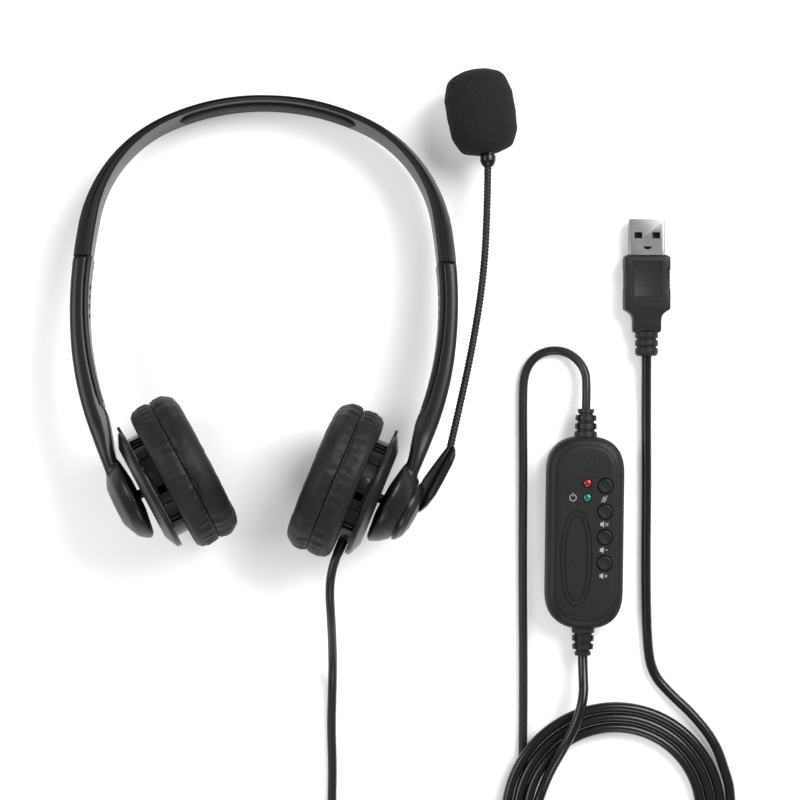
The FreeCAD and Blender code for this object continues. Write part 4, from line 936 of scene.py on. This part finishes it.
for name, colour, spot, nodes in (
        ("red_lens", (0.30, 0.002, 0.004, 1), LENS_SPOTS[0], ["status_leds"]),
        ("teal_lens", (0.0, 0.12, 0.13, 1), LENS_SPOTS[1], [])):
    lens = turned(name, rounded([(0, 7.0, 0), (1.45, 7.0, 0), (1.45, 12.9, 0.2), (1.1, 13.55, 0.5),
                                 (0, 13.8, 0)], closed=False, steps=5), 48)
    # The faint emission in each lens's own colour is a painted glow: no lamp behind the lenses is lit.
    epoxy_with_painted_glow = Shader(name, Base_Color=colour, Transmission_Weight=0.25, Coat_Weight=1.0,
                   Emission_Color=colour, Emission_Strength=0.05)
    epoxy_with_painted_glow.paint("Roughness", epoxy_with_painted_glow.speckle(1800, 2) * 0.12 + 0.04)
    fit(lens, epoxy_with_painted_glow, ON_TABLE @ moved(*spot), "right_cup", "lamp_lens", *nodes)

print_ink = Shader("white_print", Roughness=0.55)
print_ink.paint("Base Color", print_ink.blend(print_ink.speckle(2600, 2), grey(0.16), grey(0.45)))


def sign(name, outlines, spot):
    """A printed sign a twentieth of a millimetre thick: closed outlines (x, y) side by side."""
    parts = []
    for outline in outlines:
        rings = [[(x, y, height) for x, y in outline] for height in (TOP - 0.02, TOP + 0.06)]
        parts.append(lofted(name, rings))
    bpy.ops.object.select_all(action="DESELECT")
    for part in parts:
        part.select_set(True)
    bpy.context.view_layer.objects.active = parts[0]
    if len(parts) > 1:
        bpy.ops.object.join()
    fit(parts[0], print_ink, ON_TABLE @ moved(*spot, 0), "right_cup", "controller_plastic")


def oblong(x, y, wide, tall):
    return [(x - wide / 2, y - tall / 2), (x + wide / 2, y - tall / 2), (x + wide / 2, y + tall / 2),
            (x - wide / 2, y + tall / 2)]


def arc_band(radius, width, start, stop, steps=18):
    """A band of a circle, from one angle in degrees to another."""
    turns = [math.radians(start + (stop - start) * step / steps) for step in range(steps + 1)]
    outer, inner = ([(ring * math.cos(turn), ring * math.sin(turn)) for turn in turns]
                    for ring in (radius + width / 2, radius - width / 2))
    return outer + inner[::-1]


horn = [(-0.9, 0.75), (-0.9, -0.35), (-0.35, -0.35), (0.35, -0.85), (0.35, 1.25), (-0.35, 0.75)]
sign("mic_off_sign", [arc_band(0.55, 0.24, 0, 359.9), oblong(0.0, -0.95, 0.24, 0.7),
                      [(-1.1, -1.0), (-0.9, -1.2), (1.1, 0.9), (0.9, 1.1)]], (6.0, 11.55))
sign("sound_off_sign", [horn, [(0.7, 0.6), (0.9, 0.8), (1.9, -0.2), (1.7, -0.4)],
                        [(0.7, -0.2), (0.9, -0.4), (1.9, 0.6), (1.7, 0.8)]], (5.6, 2.75))
sign("quieter_sign", [horn, oblong(1.3, 0.2, 0.9, 0.26)], (5.6, -5.9))
sign("louder_sign", [horn, oblong(1.3, 0.2, 1.0, 0.26), oblong(1.3, 0.55, 0.26, 0.38),
                     oblong(1.3, -0.13, 0.26, 0.38)], (5.6, -14.6))
sign("ready_sign", [arc_band(1.1, 0.26, 115, 425), oblong(0.0, 1.0, 0.26, 1.2)], (-4.6, 11.8))

# ---- cord reliefs
# Soft PVC sleeves moulded on the cord: two stacked collars with a waist between them, each cut by
# small slots, so that they bend with the cord where it leaves the controller.
soft_pvc = moulded("soft_pvc", 0.009, 0.45, grain=2600, depth=0.00003)


def relief(name, place, body, radius, tip, length, *nodes):
    """A strain relief along +Z, its collars cut by slots on four sides."""
    collars = [(0, -0.4), (radius, -0.4),
               *((radius * wide, length * up) for wide, up in (
                   (0.97, 0.16), (0.78, 0.18), (0.78, 0.25), (0.96, 0.27), (0.93, 0.46),
                   (0.72, 0.48), (0.72, 0.56), (0.92, 0.58), (0.9, 0.76))),
               *((tip * wide, length * up) for wide, up in (
                   (0.95, 0.78), (0.95, 0.85), (1.12, 0.87), (1.08, 1.0))), (0, length)]
    sleeve = turned(name, collars, 64)
    cuts = [block((radius, 0.75, length * 0.2), (radius * 1.18, 0, length * part), spun(turn))
            for turn in (45, 135, 225, 315) for part in (0.36, 0.66)]
    combined(sleeve, "DIFFERENCE", *cuts)
    return fit(sleeve, soft_pvc, place, body, "matt_cord", *nodes)


for end, name in ((1, "upper"), (-1, "lower")):
    way = ON_TABLE @ moved(0, end * PANEL_LONG, CORD_HEIGHT) @ spun(-90 * end, "X")
    relief(name + "_controller_relief", way, "right_cup", 3.9, 2.5, RELIEF_LONG,
           *(("controller_strain_reliefs",) if end > 0 else ()))

# ---- plug
# A USB-A plug: a nickel-plated folded steel shell with two latch windows and a dimple, a black
# tongue inside it, and a PVC grip moulded over both with a sunken blank panel and ribbed sides.
IN_PLUG = METRES @ moved(PLUG_X, PLUG_Y, PLUG_HEIGHT)
GRIP = [(0.3, 6.6, 2.6), (0.0, 7.3, 3.3), (-0.5, 7.75, 3.85), (-1.2, 7.85, 4.0), (-4.9, 7.85, 4.0),
        (-5.1, 7.6, 4.0), (-11.3, 7.6, 4.0), (-11.5, 7.85, 4.0), (-17.6, 7.85, 4.0),
        (-18.3, 7.6, 3.9), (-18.9, 6.6, 3.75), (-19.6, 5.6, 3.6), (-20.6, 5.0, 3.4),
        (-22.0, 4.8, 3.25), (-25.2, 4.8, 3.2), (-25.8, 4.55, 3.0), (-26.1, 3.9, 2.7)]
rings = []
for y, half, tall in GRIP:
    turn = min(1.4, half * 0.4, tall * 0.4)
    rings.append([(spot.x, y, spot.y) for spot in oblong_round(half, tall, turn, 6)])
grip = lofted("plug_grip", rings)
panel = block((9.7, 12.0, 1.0), (0, -8.0, 4.15), radius=0.45)
dots = [turned("dot", [(0, 3.6), (0.35, 3.6), (0.35, 4.4), (0, 4.4)], 20,
               moved(side * 2.9, -15.3, 0)) for side in (-1, 1)]
shell_room = block((12.1, 12, 4.6), (0, 1.9, 0))
combined(grip, "DIFFERENCE", panel, *dots, shell_room)
side_ribs = [block((15.66, 0.45, 5.0), (0, -5.7 - 0.9 * rib, 0), radius=0.15) for rib in range(7)]
combined(grip, "UNION", *side_ribs)
plug_pvc = moulded("plug_pvc", 0.008, 0.5, grain=1500, depth=0.00007, spread=0.14)
fit(grip, plug_pvc, IN_PLUG, "right_cup", "plug_rubber", "plug_body")
sleeve = turned("plug_relief_rings", [
    (0, 0, 0), (3.9, 0, 0), (3.9, 1.9, 0.3), (3.3, 2.1, 0.1), (3.3, 2.6, 0.1), (3.9, 2.8, 0.3),
    (3.9, 4.6, 0.3), (3.3, 4.8, 0.1), (3.3, 5.3, 0.1), (3.9, 5.5, 0.3), (3.85, 7.3, 0.5),
    (3.3, 8.0, 0.4), (1.75, 8.1, 0), (0, 8.1, 0)], 72)
fit(sleeve, plug_pvc, IN_PLUG @ moved(0, -25.9, 0) @ spun(90, "X"), "right_cup", "plug_rubber")

tube, lip, room = (oblong_round(*size, 4) for size in ((6.0, 2.25, 0.55), (6.0 * 0.985, 2.25 * 0.97, 0.55),
                                                       (5.7, 1.95, 0.3)))
rings = [[(spot.x, y, spot.y) for spot in outline]
         for y, outline in ((-4.0, room), (-4.0, tube), (12.15, tube), (12.4, lip), (12.4, room),
                            (-4.0, room))]
shell = lofted("plug_metal_shell", rings)
windows = [block((2.6, 2.1, 8.0), (side * 3.05, 6.9, 0)) for side in (-1, 1)]
dimple = turned("dimple", [(0, 1.9), (1.35, 1.9), (1.45, 2.6), (0, 2.6)], 32)
dimple.data.transform(moved(0.1, 3.2, 0) @ Matrix.Diagonal((1, 0.75, 1, 1)))
combined(dimple, "DIFFERENCE", block((4, 2, 3), (0.1, 4.15, 2.2)))
combined(shell, "DIFFERENCE", *windows, dimple)
nickel = Shader("nickel_plate", Base_Color=grey(0.25, 0.02), Metallic=1.0)
brushed = nickel.speckle(900.0, 3.0, nickel.add("ShaderNodeMapping", {}, Vector=nickel.place(),
                                                Scale=(3, 1, 1)))
smears = nickel.speckle(220, 3)
nickel.paint("Roughness", brushed * 0.18 + smears * 0.12 + 0.22)
nickel.bump(brushed, 0.00001)
fit(shell, nickel, IN_PLUG, "right_cup", "plug_metal", "plug_shell", smooth=30)

# ---- pieces shown as they are
# Sliding tongues of spring steel, screws, ball joints, drivers, the board and other small pieces
# keep their own form and only get a finish.
bright = Shader("spring_steel", Base_Color=grey(0.38, 0.02), Metallic=1.0)
drawn = bright.speckle(2600.0, 3.0, bright.add("ShaderNodeMapping", {}, Vector=bright.place(),
                                               Scale=(1, 0.06, 1)))
bright.paint("Roughness", drawn * 0.25 + 0.2)
bright.bump(drawn, 0.00001)
zinc = Shader("zinc_plate", Base_Color=grey(0.3, 0.03), Metallic=1.0)
bloom = zinc.speckle(1500, 3)
zinc.paint("Roughness", bloom * 0.3 + 0.25)
acetal = moulded("dark_acetal", 0.006, 0.38)
grill = Shader("woven_scrim", Roughness=0.85)
weave_and_gap_shade = grill.add("ShaderNodeTexVoronoi", {"feature": "F1"}, Vector=grill.place(), Scale=2600.0)
# The weave's hollows, away from the threads' high points, are painted darker: painted shade in the gaps,
# laid over the weave's relief.
grill.paint("Base Color", grill.blend(weave_and_gap_shade, grey(0.014), grey(0.002)))
grill.bump(weave_and_gap_shade * -1, 0.00006)
driver_look = moulded("driver_housing", 0.01, 0.5)
board_look = Shader("green_board", Roughness=0.4)
tracks = board_look.speckle(900, 3)
board_look.paint("Base Color", board_look.blend(tracks, (0.008, 0.05, 0.02, 1),
                                                (0.02, 0.12, 0.05, 1)))
tongue_look = moulded("plug_insulator", 0.02, 0.4)
FINISHES = ((bright, "slide_tongue", "detent_spring"), (zinc, "screws", "boom_pivot_pin"),
            (acetal, "ball_stud", "pivot_collar", "ball_socket", "capsule"),
            (grill, "pad_scrim"), (driver_look, "driver"), (board_look, "board"),
            (tongue_look, "plug_tongue"), (soft_pvc, "cup_strain_relief"))
for piece in bpy.data.objects:
    for look, *endings in FINISHES:
        if "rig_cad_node" in piece and piece.name.endswith(tuple(endings)):
            piece.material_slots[0].material = look.material
